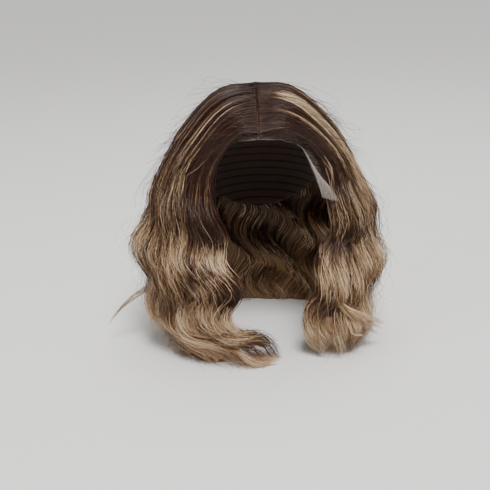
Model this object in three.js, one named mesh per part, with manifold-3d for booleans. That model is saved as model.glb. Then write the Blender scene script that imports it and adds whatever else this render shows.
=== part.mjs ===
// A wavy, shoulder-length lace-front wig with a centre parting.
//
// Millimetres, +Z up, the face opening towards -Y, the wearer's left towards +X. The origin is the
// inside of the cap's crown, where the top of a head sits. Azimuths are measured round the vertical
// axis from the front (0) through a side (90) to the back (180), and polar angles down from the top.

import * as THREE from "three";
import { mergeVertices } from "three/addons/utils/BufferGeometryUtils.js";
import Module from "manifold-3d";

const wasm = await Module();
wasm.setup();

// The hollow that a head fills: an ellipsoid of 541 mm round, with its top at the origin.
const HEAD = { halfBreadth: 77, halfLength: 95, rise: 98, centreY: 6 };

// Walls of the cap and the lace, and the gap that neighbours keep.
const CAP_WALL = 1.2;
const LACE_WALL = 1.0;
const GAP = 0.3;

// The lowest level of the hair, where its ends lie on the table.
const TABLE_Z = -295;

// The edge of the foundation round one side: hairline, temple, sideburn, ear, neck and nape.
const EDGE = [
  { azimuth: 0, polar: 50 },
  { azimuth: 22, polar: 51.5 },
  { azimuth: 38, polar: 56 },
  { azimuth: 45, polar: 61 },
  { azimuth: 50, polar: 74 },
  { azimuth: 57, polar: 86 },
  { azimuth: 66, polar: 95 },
  { azimuth: 77, polar: 99 },
  { azimuth: 90, polar: 94 },
  { azimuth: 104, polar: 92 },
  { azimuth: 130, polar: 112 },
  { azimuth: 155, polar: 124 },
  { azimuth: 180, polar: 128 },
];

// The lace band: its end at the ears, and how far it reaches behind and in front of the hairline, in degrees.
const LACE_END = 73;
const LACE_BACK = 24;
const LACE_FRONT = 2.5;

// The loose tab of lace at the left temple: the azimuths on the hairline that it hangs from, the corners of
// its cut edge from front to back, how far it bulges on the way down, and the depth of the zigzag cut.
const TAB = {
  from: 44.5,
  to: 52,
  front: [67.5, -79, -102],
  back: [86, -69, -110],
  bulge: 9,
  zigzag: 2.5,
};

// The parting: from the hairline back over the top to the crown, as polar angles in the middle plane.
const PARTING = { front: 49, crown: -22, stripWidth: 11 };

// The hair's wall at stations along its length. Over the head a station is a share of the way from the
// parting to the shoulder. Below, it has a height (or a height above the tip), and the half width and half
// depth of the wall's middle line. half is half of the wall's thickness, and fallen the length of hair since
// the shoulder.
const SHOULDER_POLAR = 80;
const OVER_HEAD = [
  { share: 0, half: 4.6, fallen: 0 },
  { share: 0.35, half: 7.2, fallen: 0 },
  { share: 0.7, half: 10, fallen: 0 },
  { share: 1, half: 15, fallen: 0 },
];
const FALL = [
  { z: -140, aboveTip: 0, halfWidth: 115, halfDepth: 112, half: 17, fallen: 62 },
  { z: -190, aboveTip: 0, halfWidth: 119, halfDepth: 115, half: 20, fallen: 112 },
  { z: 0, aboveTip: 46, halfWidth: 108, halfDepth: 110, half: 16, fallen: 168 },
  { z: 0, aboveTip: 0, halfWidth: 94, halfDepth: 103, half: 6, fallen: 222 },
];

// The share of the turn from shoulder to fall that the first falling station has made, and the share of the
// change in reach from fall to tip that the low one has.
const FIRST_TURN = 0.6;
const LOW_REACH = 0.4;

// The waves: their length along the hair, how far they swing sideways and in and out, and the stretch
// below the shoulder over which they grow to full size.
const WAVE = { length: 70, sideways: 8, outwards: 6.5, growth: 100 };

// The hair is a row of locks side by side. A lock rises from the valleys at its sides to a ridge, its tip
// draws in to a point, and the valley ends higher up than the tip.
const LOCK = { valley: 0.42, pinch: 0.7, notch: 0.5 };

// The share of a lock by which the hair stops short of its outermost valleys, as a gap between pieces.
const EDGE_INSET = 0.03;

// The valleys between locks, front to back, and so the edges of the hair. part is the root's place along
// the parting (0 hairline, 1 crown), rootX its distance from the middle, swell bends the way over the head
// back from the forehead, shoulder, fall, low and tip are azimuths on the way down, reach and tipReach scale
// the distance from the middle, drop is the tip's height, thick scales the wall, stand lifts it off the
// head, and phase starts the wave.
const COLUMNS = [
  "part", "rootX", "swell", "shoulder", "fall", "low", "tip", "reach", "tipReach", "drop", "thick", "stand",
  "phase",
];
const RIGHT_VALLEYS = [
  [0.0, 1.3, 0.19, 39, 17, 20, -15, 0.93, 0.87, -293, 0.45, 0, 157],
  [0.12, 1.3, 0.15, 52, 31, 34, -2, 1.0, 1.06, -296, 0.75, 0, 165],
  [0.24, 1.3, 0.1, 64, 46, 49, 17, 1.03, 1.19, -297, 0.95, 0, 180],
  [0.36, 1.3, 0.05, 76, 61, 61, 38, 1.05, 1.2, -296, 1, 0, 200],
  [0.48, 1.3, 0, 88, 76, 74, 58, 1.06, 1.15, -291, 1, 0, 220],
  [0.6, 1.3, 0, 100, 91, 89, 79, 1.06, 1.12, -288, 1, 0, 240],
  [0.72, 1.3, 0, 113, 106, 105, 99, 1.03, 1.07, -288, 1, 0, 255],
  [0.85, 1.3, 0, 126, 121, 121, 118, 1.0, 1.02, -290, 1, 0, 270],
  [0.97, 4, 0, 140, 137, 137, 136, 1.0, 1.0, -292, 1, 0, 280],
];
const LEFT_VALLEYS = [
  [0.0, 1.3, 0.17, 60, 38, 32, 38, 0.95, 0.9, -292, 0.45, 3, 90],
  [0.13, 1.3, 0.12, 69, 51, 43, 39, 1.0, 1.12, -295, 0.72, 2, 82],
  [0.26, 1.3, 0.09, 78, 63, 56, 47, 1.02, 1.34, -295, 0.95, 0, 72],
  [0.4, 1.3, 0.04, 88, 77, 72, 66, 1.03, 1.22, -288, 1, 0, 62],
  [0.54, 1.3, 0, 99, 90, 87, 85, 1.04, 1.14, -286, 1, 0, 52],
  [0.68, 1.3, 0, 111, 104, 103, 102, 1.02, 1.06, -288, 1, 0, 40],
  [0.83, 1.3, 0, 125, 120, 120, 119, 1.0, 1.0, -290, 1, 0, 28],
  [0.97, 4, 0, 140, 137, 137, 136, 1.0, 1.0, -292, 1, 0, 15],
];
const BACK_VALLEYS = [
  [0.97, 4, 0, 140, 137, 137, 136, 1.0, 1.0, -292, 1, 0, 15],
  [1.01, 2.4, 0, 156, 154, 154, 154, 0.97, 0.98, -293, 0.92, 0, 70],
  [1.03, 0.8, 0, 172, 171, 171, 171, 0.95, 0.97, -295, 0.88, 0, 125],
  [1.03, -0.8, 0, 188, 189, 189, 189, 0.95, 0.97, -294, 0.88, 0, 175],
  [1.01, -2.4, 0, 204, 206, 206, 206, 0.97, 0.98, -295, 0.92, 0, 230],
  [0.97, -4, 0, 220, 223, 223, 224, 1.0, 1.0, -292, 1, 0, 280],
];

// Two stray ends leave the hair near the table: the points of each one's middle line, and its widths.
const STRAY_RIGHT = {
  points: [[-118, -11, -214], [-142, -16, -229], [-161, -20, -240], [-176, -23, -253], [-189, -26, -269]],
  root: 14,
  tip: 4,
};
const STRAY_LEFT = {
  points: [[90, -66, -236], [108, -61, -257], [126, -53, -270], [145, -46, -281]],
  root: 15,
  tip: 8,
};

// Facets: columns of a lock, rows over the head and below the shoulder, and those of cap and lace.
const LOCK_COLUMNS = [0, 0.3, 0.7];
const HEAD_ROWS = 6;
const FALL_ROWS = 26;
const STRAY_SIDES = 6;
const STRAY_STEPS = 9;
const CAP_COLUMNS = 36;
const CAP_ROWS = 9;
const LACE_COLUMNS = 28;
const LACE_ROWS = 4;
const TAB_COLUMNS = 10;
const TAB_ROWS = 5;
const STRIP_ROWS = 10;

// The least distance of the hair from the head: the cap, the gap, and the depth of a facet's chord.
const HAIR_CLEAR = CAP_WALL + GAP + 1;

const rad = THREE.MathUtils.degToRad;
const mix = THREE.MathUtils.lerp;

// The value of a table's column where its key column has a given value, between rows in a straight line.
function tableAt(table, key, at, column) {
  const next = table.findIndex((row) => (row[key] - at) * (table[1][key] - table[0][key]) >= 0);
  if (next === 0) return table[0][column];
  if (next < 0) return table[table.length - 1][column];
  const [low, high] = [table[next - 1], table[next]];
  return mix(low[column], high[column], (at - low[key]) / (high[key] - low[key]));
}

// A unit direction from the head's centre.
function direction(azimuth, polar) {
  const [a, p] = [rad(azimuth), rad(polar)];
  return new THREE.Vector3(Math.sin(p) * Math.sin(a), -Math.sin(p) * Math.cos(a), Math.cos(p));
}

// The point in that direction that stands off the head by an offset.
function onHead(unit, offset) {
  return new THREE.Vector3(
    (HEAD.halfBreadth + offset) * unit.x,
    HEAD.centreY + (HEAD.halfLength + offset) * unit.y,
    -HEAD.rise + (HEAD.rise + offset) * unit.z,
  );
}

// A solid from a triangle mesh: shared points are merged and flat triangles at the poles dropped.
function solidFrom(geometry) {
  const bare = new THREE.BufferGeometry().setAttribute("position", geometry.getAttribute("position"));
  if (geometry.index) bare.setIndex(geometry.index);
  const merged = mergeVertices(bare, 1e-3);
  const index = Array.from(merged.index.array);
  const triVerts = [];
  for (let i = 0; i < index.length; i += 3) {
    const [a, b, c] = index.slice(i, i + 3);
    if (a !== b && b !== c && c !== a) triVerts.push(a, b, c);
  }
  const vertProperties = new Float32Array(merged.attributes.position.array);
  const mesh = new wasm.Mesh({ numProp: 3, vertProperties, triVerts: new Uint32Array(triVerts) });
  return new wasm.Manifold(mesh);
}

// The geometry of a solid, keeping only its largest body.
function geometryOf(solid) {
  const bodies = solid.decompose().sort((a, b) => b.volume() - a.volume());
  const { numProp, numVert, vertProperties, triVerts } = bodies[0].getMesh();
  const position = new Float32Array(numVert * 3);
  for (let i = 0; i < numVert; i += 1) {
    position.set(vertProperties.subarray(i * numProp, i * numProp + 3), i * 3);
  }
  const geometry = new THREE.BufferGeometry();
  geometry.setAttribute("position", new THREE.BufferAttribute(position, 3));
  geometry.setIndex(new THREE.BufferAttribute(new Uint32Array(triVerts), 1));
  geometry.computeVertexNormals();
  return geometry;
}

function geometryFrom(points, triangles) {
  const geometry = new THREE.BufferGeometry().setFromPoints(points);
  geometry.setIndex(triangles);
  return geometry;
}

// A curved wall between two grids of points, columns by rows, with its rims closed.
function wall(columns, rows, outerAt, innerAt) {
  const points = [];
  const triangles = [];
  const at = (layer, c, r) => layer * (columns + 1) * (rows + 1) + c * (rows + 1) + r;
  const quad = (a, b, c, d) => triangles.push(a, b, c, a, c, d);
  for (const pointAt of [outerAt, innerAt]) {
    for (let c = 0; c <= columns; c += 1) {
      for (let r = 0; r <= rows; r += 1) points.push(pointAt(c / columns, r / rows));
    }
  }
  for (let c = 0; c < columns; c += 1) {
    for (let r = 0; r < rows; r += 1) {
      quad(at(0, c, r), at(0, c, r + 1), at(0, c + 1, r + 1), at(0, c + 1, r));
      quad(at(1, c, r), at(1, c + 1, r), at(1, c + 1, r + 1), at(1, c, r + 1));
    }
    quad(at(0, c, rows), at(1, c, rows), at(1, c + 1, rows), at(0, c + 1, rows));
    quad(at(0, c, 0), at(0, c + 1, 0), at(1, c + 1, 0), at(1, c, 0));
  }
  for (let r = 0; r < rows; r += 1) {
    quad(at(0, 0, r), at(1, 0, r), at(1, 0, r + 1), at(0, 0, r + 1));
    quad(at(0, columns, r), at(0, columns, r + 1), at(1, columns, r + 1), at(1, columns, r));
  }
  return geometryFrom(points, triangles);
}

// A solid lofted through rings of points, with a flat face at each end.
function loft(rings) {
  const sides = rings[0].length;
  const points = rings.flat();
  const triangles = [];
  for (let j = 0; j + 1 < rings.length; j += 1) {
    for (let k = 0; k < sides; k += 1) {
      const next = (k + 1) % sides;
      const [a, b, c, d] = [j * sides + k, j * sides + next, (j + 1) * sides + next, (j + 1) * sides + k];
      triangles.push(a, b, c, a, c, d);
    }
  }
  const last = (rings.length - 1) * sides;
  for (let k = 1; k + 1 < sides; k += 1) {
    triangles.push(0, k + 1, k);
    triangles.push(last, last + k, last + k + 1);
  }
  return geometryFrom(points, triangles);
}

const hairline = (azimuth) => tableAt(EDGE, "azimuth", Math.abs(azimuth), "polar");

// The seam behind the lace, which runs out into the edge at the ears.
function laceSeam(azimuth) {
  const share = Math.min(Math.abs(azimuth) / LACE_END, 1);
  return hairline(azimuth) - LACE_BACK * (1 - 0.45 * share ** 2);
}

// The foundation's net dome, cut away in front for the lace band and along the parting for its strip.
function capSolid() {
  const pointAt = (offset) => (column, row) => {
    const azimuth = 360 * column - 180;
    return onHead(direction(azimuth, hairline(azimuth) * row), offset);
  };
  const dome = solidFrom(wall(CAP_COLUMNS, CAP_ROWS, pointAt(CAP_WALL), pointAt(0)));
  const front = onHead(direction(0, PARTING.front), 0).y;
  const crown = onHead(direction(180, -PARTING.crown), 0).y;
  const slot = new THREE.BoxGeometry(PARTING.stripWidth + 2 * GAP, crown - front + GAP, HEAD.rise);
  slot.translate(0, (front + crown + GAP) / 2, 0);
  const band = laceSolid({ inner: -CAP_WALL, outer: 2 * CAP_WALL, grow: 1.5 * GAP });
  return dome.subtract(solidFrom(slot)).subtract(band);
}

// The lace band between two offsets from the head, grown at its edges by some degrees.
function laceSolid({ inner, outer, grow }) {
  const pointAt = (offset) => (column, row) => {
    const azimuth = mix(-LACE_END - grow, LACE_END + grow, column);
    const polar = mix(laceSeam(azimuth) - grow, hairline(azimuth) + LACE_FRONT + grow, row);
    return onHead(direction(azimuth, polar), offset);
  };
  return solidFrom(wall(LACE_COLUMNS, LACE_ROWS, pointAt(outer), pointAt(inner)));
}

// The loose tab: a sheet that hangs from the hairline and bulges out on the way to its zigzag cut edge.
function tabSolid() {
  const middleAt = (column, row) => {
    const azimuth = mix(TAB.from, TAB.to, column);
    const root = onHead(direction(azimuth, hairline(azimuth) + LACE_FRONT / 2), LACE_WALL / 2);
    const tip = new THREE.Vector3(...TAB.front).lerp(new THREE.Vector3(...TAB.back), column);
    tip.z -= TAB.zigzag * (Math.round(column * TAB_COLUMNS) % 2);
    const bulged = root.clone().lerp(tip, 0.5).addScaledVector(direction(azimuth, 90), TAB.bulge);
    return new THREE.QuadraticBezierCurve3(root, bulged, tip).getPoint(row);
  };
  const pointAt = (offset) => (column, row) => {
    const down = middleAt(column, Math.min(row + 0.05, 1)).sub(middleAt(column, Math.min(row, 0.95)));
    const along = middleAt(1, row).sub(middleAt(0, row));
    return middleAt(column, row).addScaledVector(down.cross(along).normalize(), offset);
  };
  return solidFrom(wall(TAB_COLUMNS, TAB_ROWS, pointAt(LACE_WALL / 2), pointAt(-LACE_WALL / 2)));
}

// The strip of lace under the parting, from the band's seam back to the crown.
function stripSolid() {
  const pointAt = (offset) => (column, row) => {
    const sideways = (PARTING.stripWidth / HEAD.halfBreadth) * (0.5 - column);
    const middle = direction(0, mix(laceSeam(0) - 2 * GAP, PARTING.crown, row));
    const unit = middle.multiplyScalar(Math.sqrt(1 - sideways ** 2));
    unit.x = sideways;
    return onHead(unit, offset);
  };
  return solidFrom(wall(2, STRIP_ROWS, pointAt(LACE_WALL), pointAt(0)));
}

// A valley's row, or one between two valleys, with the columns named. The outermost are set in a little.
function rowAt(valleys, place) {
  const kept = THREE.MathUtils.clamp(place, EDGE_INSET, valleys.length - 1 - EDGE_INSET);
  const low = Math.floor(kept);
  return Object.fromEntries(
    COLUMNS.map((name, i) => [name, mix(valleys[low][i], valleys[low + 1][i], kept - low)]),
  );
}

// The middle line of the wall of hair at a row, from the parting over the head and down to the tip.
function middleLine(row, side) {
  const root = direction(0, mix(PARTING.front, PARTING.crown, row.part));
  const shoulder = direction(side * row.shoulder, SHOULDER_POLAR);
  const overHead = OVER_HEAD.map(({ share, half }) => {
    const unit = root.clone().lerp(shoulder, share).normalize();
    unit.z += 4 * share * (1 - share) * row.swell;
    const point = onHead(unit.normalize(), HAIR_CLEAR + half * row.thick + share * row.stand);
    point.x += side * row.rootX * (1 - share);
    return point;
  });
  const azimuths = [mix(row.shoulder, row.fall, FIRST_TURN), row.fall, row.low, row.tip];
  const lowReach = mix(row.reach, row.tipReach, LOW_REACH);
  const reaches = [mix(1, row.reach, FIRST_TURN), row.reach, lowReach, row.tipReach];
  const falling = FALL.map((station, i) => {
    const a = rad(side * azimuths[i]);
    return new THREE.Vector3(
      reaches[i] * station.halfWidth * Math.sin(a),
      HEAD.centreY - reaches[i] * station.halfDepth * Math.cos(a),
      station.z === 0 ? row.drop + station.aboveTip : station.z,
    );
  });
  return new THREE.CatmullRomCurve3([...overHead, ...falling]);
}

// The way out from the head at a point: square to the dome above, level round the neck below.
function outwards(point) {
  const up = Math.max(point.z + HEAD.rise, 0) / HEAD.rise ** 2;
  return new THREE.Vector3(
    point.x / HEAD.halfBreadth ** 2,
    (point.y - HEAD.centreY) / HEAD.halfLength ** 2,
    up,
  ).normalize();
}

// A point moved out to the hair's least distance from the head, and up to the table.
function keptClear(point) {
  const x = point.x / (HEAD.halfBreadth + HAIR_CLEAR);
  const y = (point.y - HEAD.centreY) / (HEAD.halfLength + HAIR_CLEAR);
  const z = (point.z + HEAD.rise) / (HEAD.rise + HAIR_CLEAR);
  const depth = Math.max(1 / Math.hypot(x, y, z), 1);
  return new THREE.Vector3(
    point.x * depth,
    HEAD.centreY + (point.y - HEAD.centreY) * depth,
    Math.max(-HEAD.rise + (point.z + HEAD.rise) * depth, TABLE_Z),
  );
}

const STATIONS = [...OVER_HEAD, ...FALL];
const LAST_STATION = STATIONS.length - 1;
const SHOULDER_STATION = OVER_HEAD.length - 1;

// The value of a station's column between two stations.
function stationAt(station, column) {
  const low = Math.min(Math.floor(station), LAST_STATION - 1);
  return mix(STATIONS[low][column], STATIONS[low + 1][column], station - low);
}

// A point of the wall of hair: lock by lock across, a station along, and +1 outside or -1 inside.
function hairPoint(valleys, side, lock, across, station, face) {
  const ridge = Math.sin(Math.PI * across) ** 0.7;
  const ending = THREE.MathUtils.smoothstep(station, LAST_STATION - 1.5, LAST_STATION);
  const along = station - LOCK.notch * (1 - ridge) * ending;
  const drawn = LOCK.pinch * ending;
  const place = across === 0 || across === 1 ? across : 0.5 + (across - 0.5) * (1 - drawn);
  const row = rowAt(valleys, lock + place);
  const line = middleLine(row, side);
  const centre = line.getPoint(along / LAST_STATION);
  const tangent = line.getTangent(along / LAST_STATION);
  const sideways = new THREE.Vector3().crossVectors(outwards(centre), tangent).normalize();
  const out = new THREE.Vector3().crossVectors(tangent, sideways);
  const fallen = stationAt(along, "fallen");
  const size = THREE.MathUtils.smoothstep(fallen, 0, WAVE.growth);
  const turn = (2 * Math.PI * fallen) / WAVE.length + rad(row.phase);
  const sunk = 1 - LOCK.valley * (1 - ridge) * THREE.MathUtils.smoothstep(along, 0.5, SHOULDER_STATION + 1);
  const half = stationAt(along, "half") * row.thick * (face > 0 ? sunk : 1);
  centre.addScaledVector(sideways, size * WAVE.sideways * Math.sin(turn));
  centre.addScaledVector(out, size * WAVE.outwards * Math.cos(turn) + face * half);
  return keptClear(centre);
}

// The wall of hair over all locks of a table.
function hairSolid(valleys, side) {
  const locks = valleys.length - 1;
  const places = [];
  for (let lock = 0; lock < locks; lock += 1) {
    LOCK_COLUMNS.forEach((across) => places.push([lock, across]));
  }
  places.push([locks - 1, 1]);
  const rows = HEAD_ROWS + FALL_ROWS;
  const stationOf = (row) =>
    row <= HEAD_ROWS
      ? (SHOULDER_STATION * row) / HEAD_ROWS
      : mix(SHOULDER_STATION, LAST_STATION, (row - HEAD_ROWS) / FALL_ROWS);
  const columns = places.length - 1;
  const pointAt = (face) => (column, row) => {
    const c = Math.round(column * columns);
    const [lock, across] = places[side > 0 ? c : columns - c];
    return hairPoint(valleys, side, lock, across, stationOf(Math.round(row * rows)), face);
  };
  return solidFrom(wall(columns, rows, pointAt(1), pointAt(-1)));
}

// A stray end: a round, tapering strand along a line.
function straySolid({ points, root, tip }) {
  const line = new THREE.CatmullRomCurve3(points.map((point) => new THREE.Vector3(...point)));
  const { normals, binormals } = line.computeFrenetFrames(STRAY_STEPS);
  const rings = normals.map((normal, j) => {
    const radius = mix(root, tip, j / STRAY_STEPS) / 2;
    return Array.from({ length: STRAY_SIDES }, (_, k) => {
      const angle = (2 * Math.PI * k) / STRAY_SIDES;
      return line
        .getPointAt(j / STRAY_STEPS)
        .addScaledVector(normal, radius * Math.cos(angle))
        .addScaledVector(binormals[j], radius * Math.sin(angle));
    });
  });
  return solidFrom(loft(rings));
}

const MATERIALS = {
  net: new THREE.MeshStandardMaterial({ name: "stretch net", color: "#3a2a22", roughness: 0.9 }),
  lace: new THREE.MeshStandardMaterial({ name: "sheer lace", color: "#c9b8ad", roughness: 0.8 }),
  hair: new THREE.MeshStandardMaterial({ name: "hair", color: "#8a6a4c", roughness: 0.45 }),
};

function piece(name, solid, material) {
  const mesh = new THREE.Mesh(geometryOf(solid), material);
  mesh.name = name;
  return mesh;
}

const wig = new THREE.Group();
wig.name = "wavy lace-front wig";
wig.add(
  piece("cap", capSolid(), MATERIALS.net),
  piece("lace_front", laceSolid({ inner: 0, outer: LACE_WALL, grow: 0 }).add(tabSolid()), MATERIALS.lace),
  piece("parting_strip", stripSolid(), MATERIALS.lace),
  piece("hair_right", hairSolid(RIGHT_VALLEYS, -1).add(straySolid(STRAY_RIGHT)), MATERIALS.hair),
  piece("hair_left", hairSolid(LEFT_VALLEYS, 1).add(straySolid(STRAY_LEFT)), MATERIALS.hair),
  piece("hair_back", hairSolid(BACK_VALLEYS, 1), MATERIALS.hair),
);

export default wig;
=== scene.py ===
"""Dresses a wavy lace-front wig: strands in wavy locks over dense hair, a lace front and a net cap.

Metres, +Z up, the face opening towards -Y, the wearer's left towards +X. The origin is the inside of the
cap's crown. Azimuths run from the front (0) past a side (90) to the back (180), and polar angles down from
the top, in degrees.
"""

import logging
import math
from dataclasses import dataclass, field
from enum import Enum
from typing import Any, Callable

import bpy
import numpy as np
from mathutils import Matrix, Vector


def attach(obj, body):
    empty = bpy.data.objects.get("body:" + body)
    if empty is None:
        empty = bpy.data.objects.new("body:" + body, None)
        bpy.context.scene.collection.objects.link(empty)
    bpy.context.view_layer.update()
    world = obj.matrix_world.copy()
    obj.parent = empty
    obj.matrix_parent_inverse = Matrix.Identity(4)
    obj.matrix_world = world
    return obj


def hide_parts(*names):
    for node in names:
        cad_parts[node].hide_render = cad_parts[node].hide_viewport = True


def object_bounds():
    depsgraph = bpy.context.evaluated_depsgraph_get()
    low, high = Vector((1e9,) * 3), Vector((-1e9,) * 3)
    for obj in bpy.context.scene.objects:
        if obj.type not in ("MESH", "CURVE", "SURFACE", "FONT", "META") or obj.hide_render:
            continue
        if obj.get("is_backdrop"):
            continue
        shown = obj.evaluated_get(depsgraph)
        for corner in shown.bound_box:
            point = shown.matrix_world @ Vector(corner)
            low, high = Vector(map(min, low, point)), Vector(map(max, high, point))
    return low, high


log = logging.getLogger("wig")

Array = np.ndarray
Surface = Callable[[Array, Array], Array]
MM = 0.001
BAKE_MAP = "OFBake"
# Settings that several nodes share.
FLAT_NOISE = {"noise_dimensions": "2D"}
SMOOTH_RISE = {"interpolation_type": "SMOOTHSTEP"}
SCALE_AND_ADD = {"operation": "MULTIPLY_ADD"}
COLOURS = {"data_type": "RGBA"}


def linear(hex_colour: str) -> tuple[float, float, float, float]:
    """Turns an sRGB hex colour to linear light.

    Args:
        hex_colour: Six hex digits after a hash.

    Returns:
        Linear red, green, blue and an alpha of one.
    """
    shares = [int(hex_colour[i : i + 2], 16) / 255 for i in (1, 3, 5)]
    red, green, blue = (s / 12.92 if s <= 0.04045 else ((s + 0.055) / 1.055) ** 2.4 for s in shares)
    return red, green, blue, 1.0


def add_node(
    tree: bpy.types.NodeTree,
    kind: str,
    settings: dict[str, Any] | None = None,
    inputs: dict[Any, Any] | None = None,
) -> bpy.types.Node:
    """Adds a node to a material with its settings and links.

    Args:
        tree: The material's node tree.
        kind: The node's type, without the ShaderNode that it starts with.
        settings: Properties of the node.
        inputs: Values or output sockets for the node's inputs.

    Returns:
        The new node.
    """
    node = tree.nodes.new(f"ShaderNode{kind}")
    for name, value in (settings or {}).items():
        setattr(node, name, value)
    for key, value in (inputs or {}).items():
        if isinstance(value, bpy.types.NodeSocket):
            tree.links.new(value, node.inputs[key])
        else:
            node.inputs[key].default_value = value
    return node


def new_material(name: str) -> bpy.types.Material:
    """Makes a material with an empty node tree.

    Args:
        name: The material's name.

    Returns:
        The material.
    """
    made = bpy.data.materials.new(name)
    made.use_nodes = True
    made.node_tree.nodes.clear()
    return made


def finished(material: bpy.types.Material, look: dict[str, Any]) -> bpy.types.Material:
    """Ends a material's nodes with a surface.

    Args:
        material: The material.
        look: Values or output sockets for the surface's inputs.

    Returns:
        The same material.
    """
    shader = add_node(material.node_tree, "BsdfPrincipled", inputs=look)
    add_node(material.node_tree, "OutputMaterial", inputs={0: shader.outputs[0]})
    return material


def smoothstep(value: Any, low: float, high: float) -> Array:
    """Returns a smooth rise from 0 at low to 1 at high."""
    share = np.clip((np.asarray(value) - low) / (high - low), 0, 1)
    return share * share * (3 - 2 * share)


def mix(low: Any, high: Any, share: Any) -> Any:
    """Returns the value a share of the way from low to high."""
    return low + (high - low) * share


def unit(vectors: Array) -> Array:
    """Returns vectors scaled to length one."""
    return vectors / np.maximum(np.linalg.norm(vectors, axis=-1, keepdims=True), 1e-12)


class HairLayer(Enum):
    """The two layers of the hair."""

    STRANDS = "Silky balayage hair"
    DENSE = "Dense balayage hair"


@dataclass(frozen=True)
class HairFinish:
    """Silky dyed hair: dark roots that melt into honey-blond lengths, each strand with a shade of its own.

    The bake map's second coordinate runs from root to tip. On strands its first one is the shade, from dark
    to light. On the dense hair below it runs across the wall, and the shade changes from hair to hair.
    """

    root: str = "#321a14"
    brown: str = "#61422e"
    honey: str = "#ae8860"
    blond: str = "#efd5b2"
    shine: str = "#fff4ea"
    roughness: float = 0.34
    shine_level: float = 0.48
    wall_mm: float = 250.0
    hair_mm: float = 1.1

    def shade(
        self, tree: bpy.types.NodeTree, layer: HairLayer, place: bpy.types.Node
    ) -> bpy.types.NodeSocket:
        """Adds the nodes that give a point's shade.

        Args:
            tree: The material's node tree.
            layer: The layer of hair.
            place: The node that reads the bake map.

        Returns:
            The shade, from 0 dark to 1 light.
        """
        if layer is HairLayer.STRANDS:
            return add_node(tree, "SeparateXYZ", inputs={0: place.outputs[0]}).outputs[0]
        # Single hairs are about 0.07 mm; streaks of about 1 mm still show in the render.
        scale = (2 * self.wall_mm / self.hair_mm, 5.0, 1.0)
        stretch = add_node(tree, "Mapping", inputs={"Vector": place.outputs[0], "Scale": scale})
        hairs = add_node(tree, "TexNoise", FLAT_NOISE, {"Vector": stretch.outputs[0], "Scale": 1.0})
        span = {"From Min": 0.3, "From Max": 0.75, "To Max": 0.62}
        return add_node(tree, "MapRange", inputs={"Value": hairs.outputs[0], **span}).outputs[0]

    def material(self, layer: HairLayer) -> bpy.types.Material:
        """Builds the material of a layer.

        Args:
            layer: The layer of hair.

        Returns:
            The material.
        """
        made = new_material(layer.value)
        tree = made.node_tree
        place = add_node(tree, "UVMap", {"uv_map": BAKE_MAP})
        along = add_node(tree, "SeparateXYZ", inputs={0: place.outputs[0]}).outputs[1]
        shade = self.shade(tree, layer, place)
        # A light strand leaves its dark root sooner and gets paler.
        start = add_node(tree, "Math", SCALE_AND_ADD, {0: shade, 1: -0.72, 2: 0.8})
        past = add_node(tree, "Math", {"operation": "SUBTRACT"}, {0: along, 1: start.outputs[0]})
        span = {"Value": past.outputs[0], "From Min": -0.1, "From Max": 0.3}
        melt = add_node(tree, "MapRange", SMOOTH_RISE, span)
        strength = add_node(tree, "Math", SCALE_AND_ADD, {0: shade, 1: 0.72, 2: 0.28})
        parts = {0: melt.outputs[0], 1: strength.outputs[0]}
        lift = add_node(tree, "Math", {"operation": "MULTIPLY"}, parts)
        # Dye runs unevenly down the length, in patches of about 40 mm.
        scale = (160.0, 8.0, 1.0)
        stretch = add_node(tree, "Mapping", inputs={"Vector": place.outputs[0], "Scale": scale})
        streaks = add_node(tree, "TexNoise", FLAT_NOISE, {"Vector": stretch.outputs[0], "Scale": 1.0})
        # A light strand is lighter at its root too.
        level = add_node(tree, "Math", SCALE_AND_ADD, {0: shade, 1: 0.24, 2: -0.22})
        drift = add_node(tree, "Math", SCALE_AND_ADD, {0: streaks.outputs[0], 1: 0.24, 2: level.outputs[0]})
        parts = {0: lift.outputs[0], 1: drift.outputs[0]}
        total = add_node(tree, "Math", {"operation": "ADD", "use_clamp": True}, parts)
        ramp = add_node(tree, "ValToRGB", inputs={0: total.outputs[0]})
        stops = ramp.color_ramp.elements
        stops[0].position, stops[0].color = 0.03, linear(self.root)
        stops[1].position, stops[1].color = 1.0, linear(self.blond)
        for position, colour in ((0.3, self.brown), (0.66, self.honey)):
            stops.new(position).color = linear(colour)
        look = {
            "Base Color": ramp.outputs[0],
            "Roughness": self.roughness,
            "Specular IOR Level": self.shine_level,
            "Specular Tint": linear(self.shine),
        }
        if layer is HairLayer.DENSE:
            relief = {"Height": shade, "Distance": 0.5 * MM, "Strength": 0.9}
            look["Normal"] = add_node(tree, "Bump", inputs=relief).outputs[0]
        return finished(made, look)


@dataclass(frozen=True)
class LaceFinish:
    """Sheer polyamide lace: fine matt threads, a little uneven where they were knotted."""

    name: str = "Sheer polyamide lace"
    thread: str = "#a6998f"
    worn: str = "#83766d"
    roughness: float = 0.7

    def material(self) -> bpy.types.Material:
        """Builds the lace's material.

        Returns:
            The material.
        """
        made = new_material(self.name)
        tree = made.node_tree
        place = add_node(tree, "TexCoord").outputs["Object"]
        # Knots darken the threads in patches of about 3 mm.
        grain = {"Vector": place, "Scale": 1 / (3 * MM), "Detail": 2.0}
        patches = add_node(tree, "TexNoise", inputs=grain)
        parts = {0: patches.outputs[0], 6: linear(self.worn), 7: linear(self.thread)}
        colour = add_node(tree, "Mix", COLOURS, parts)
        look = {"Base Color": colour.outputs[2], "Roughness": self.roughness, "Sheen Weight": 0.2}
        return finished(made, look)


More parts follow.
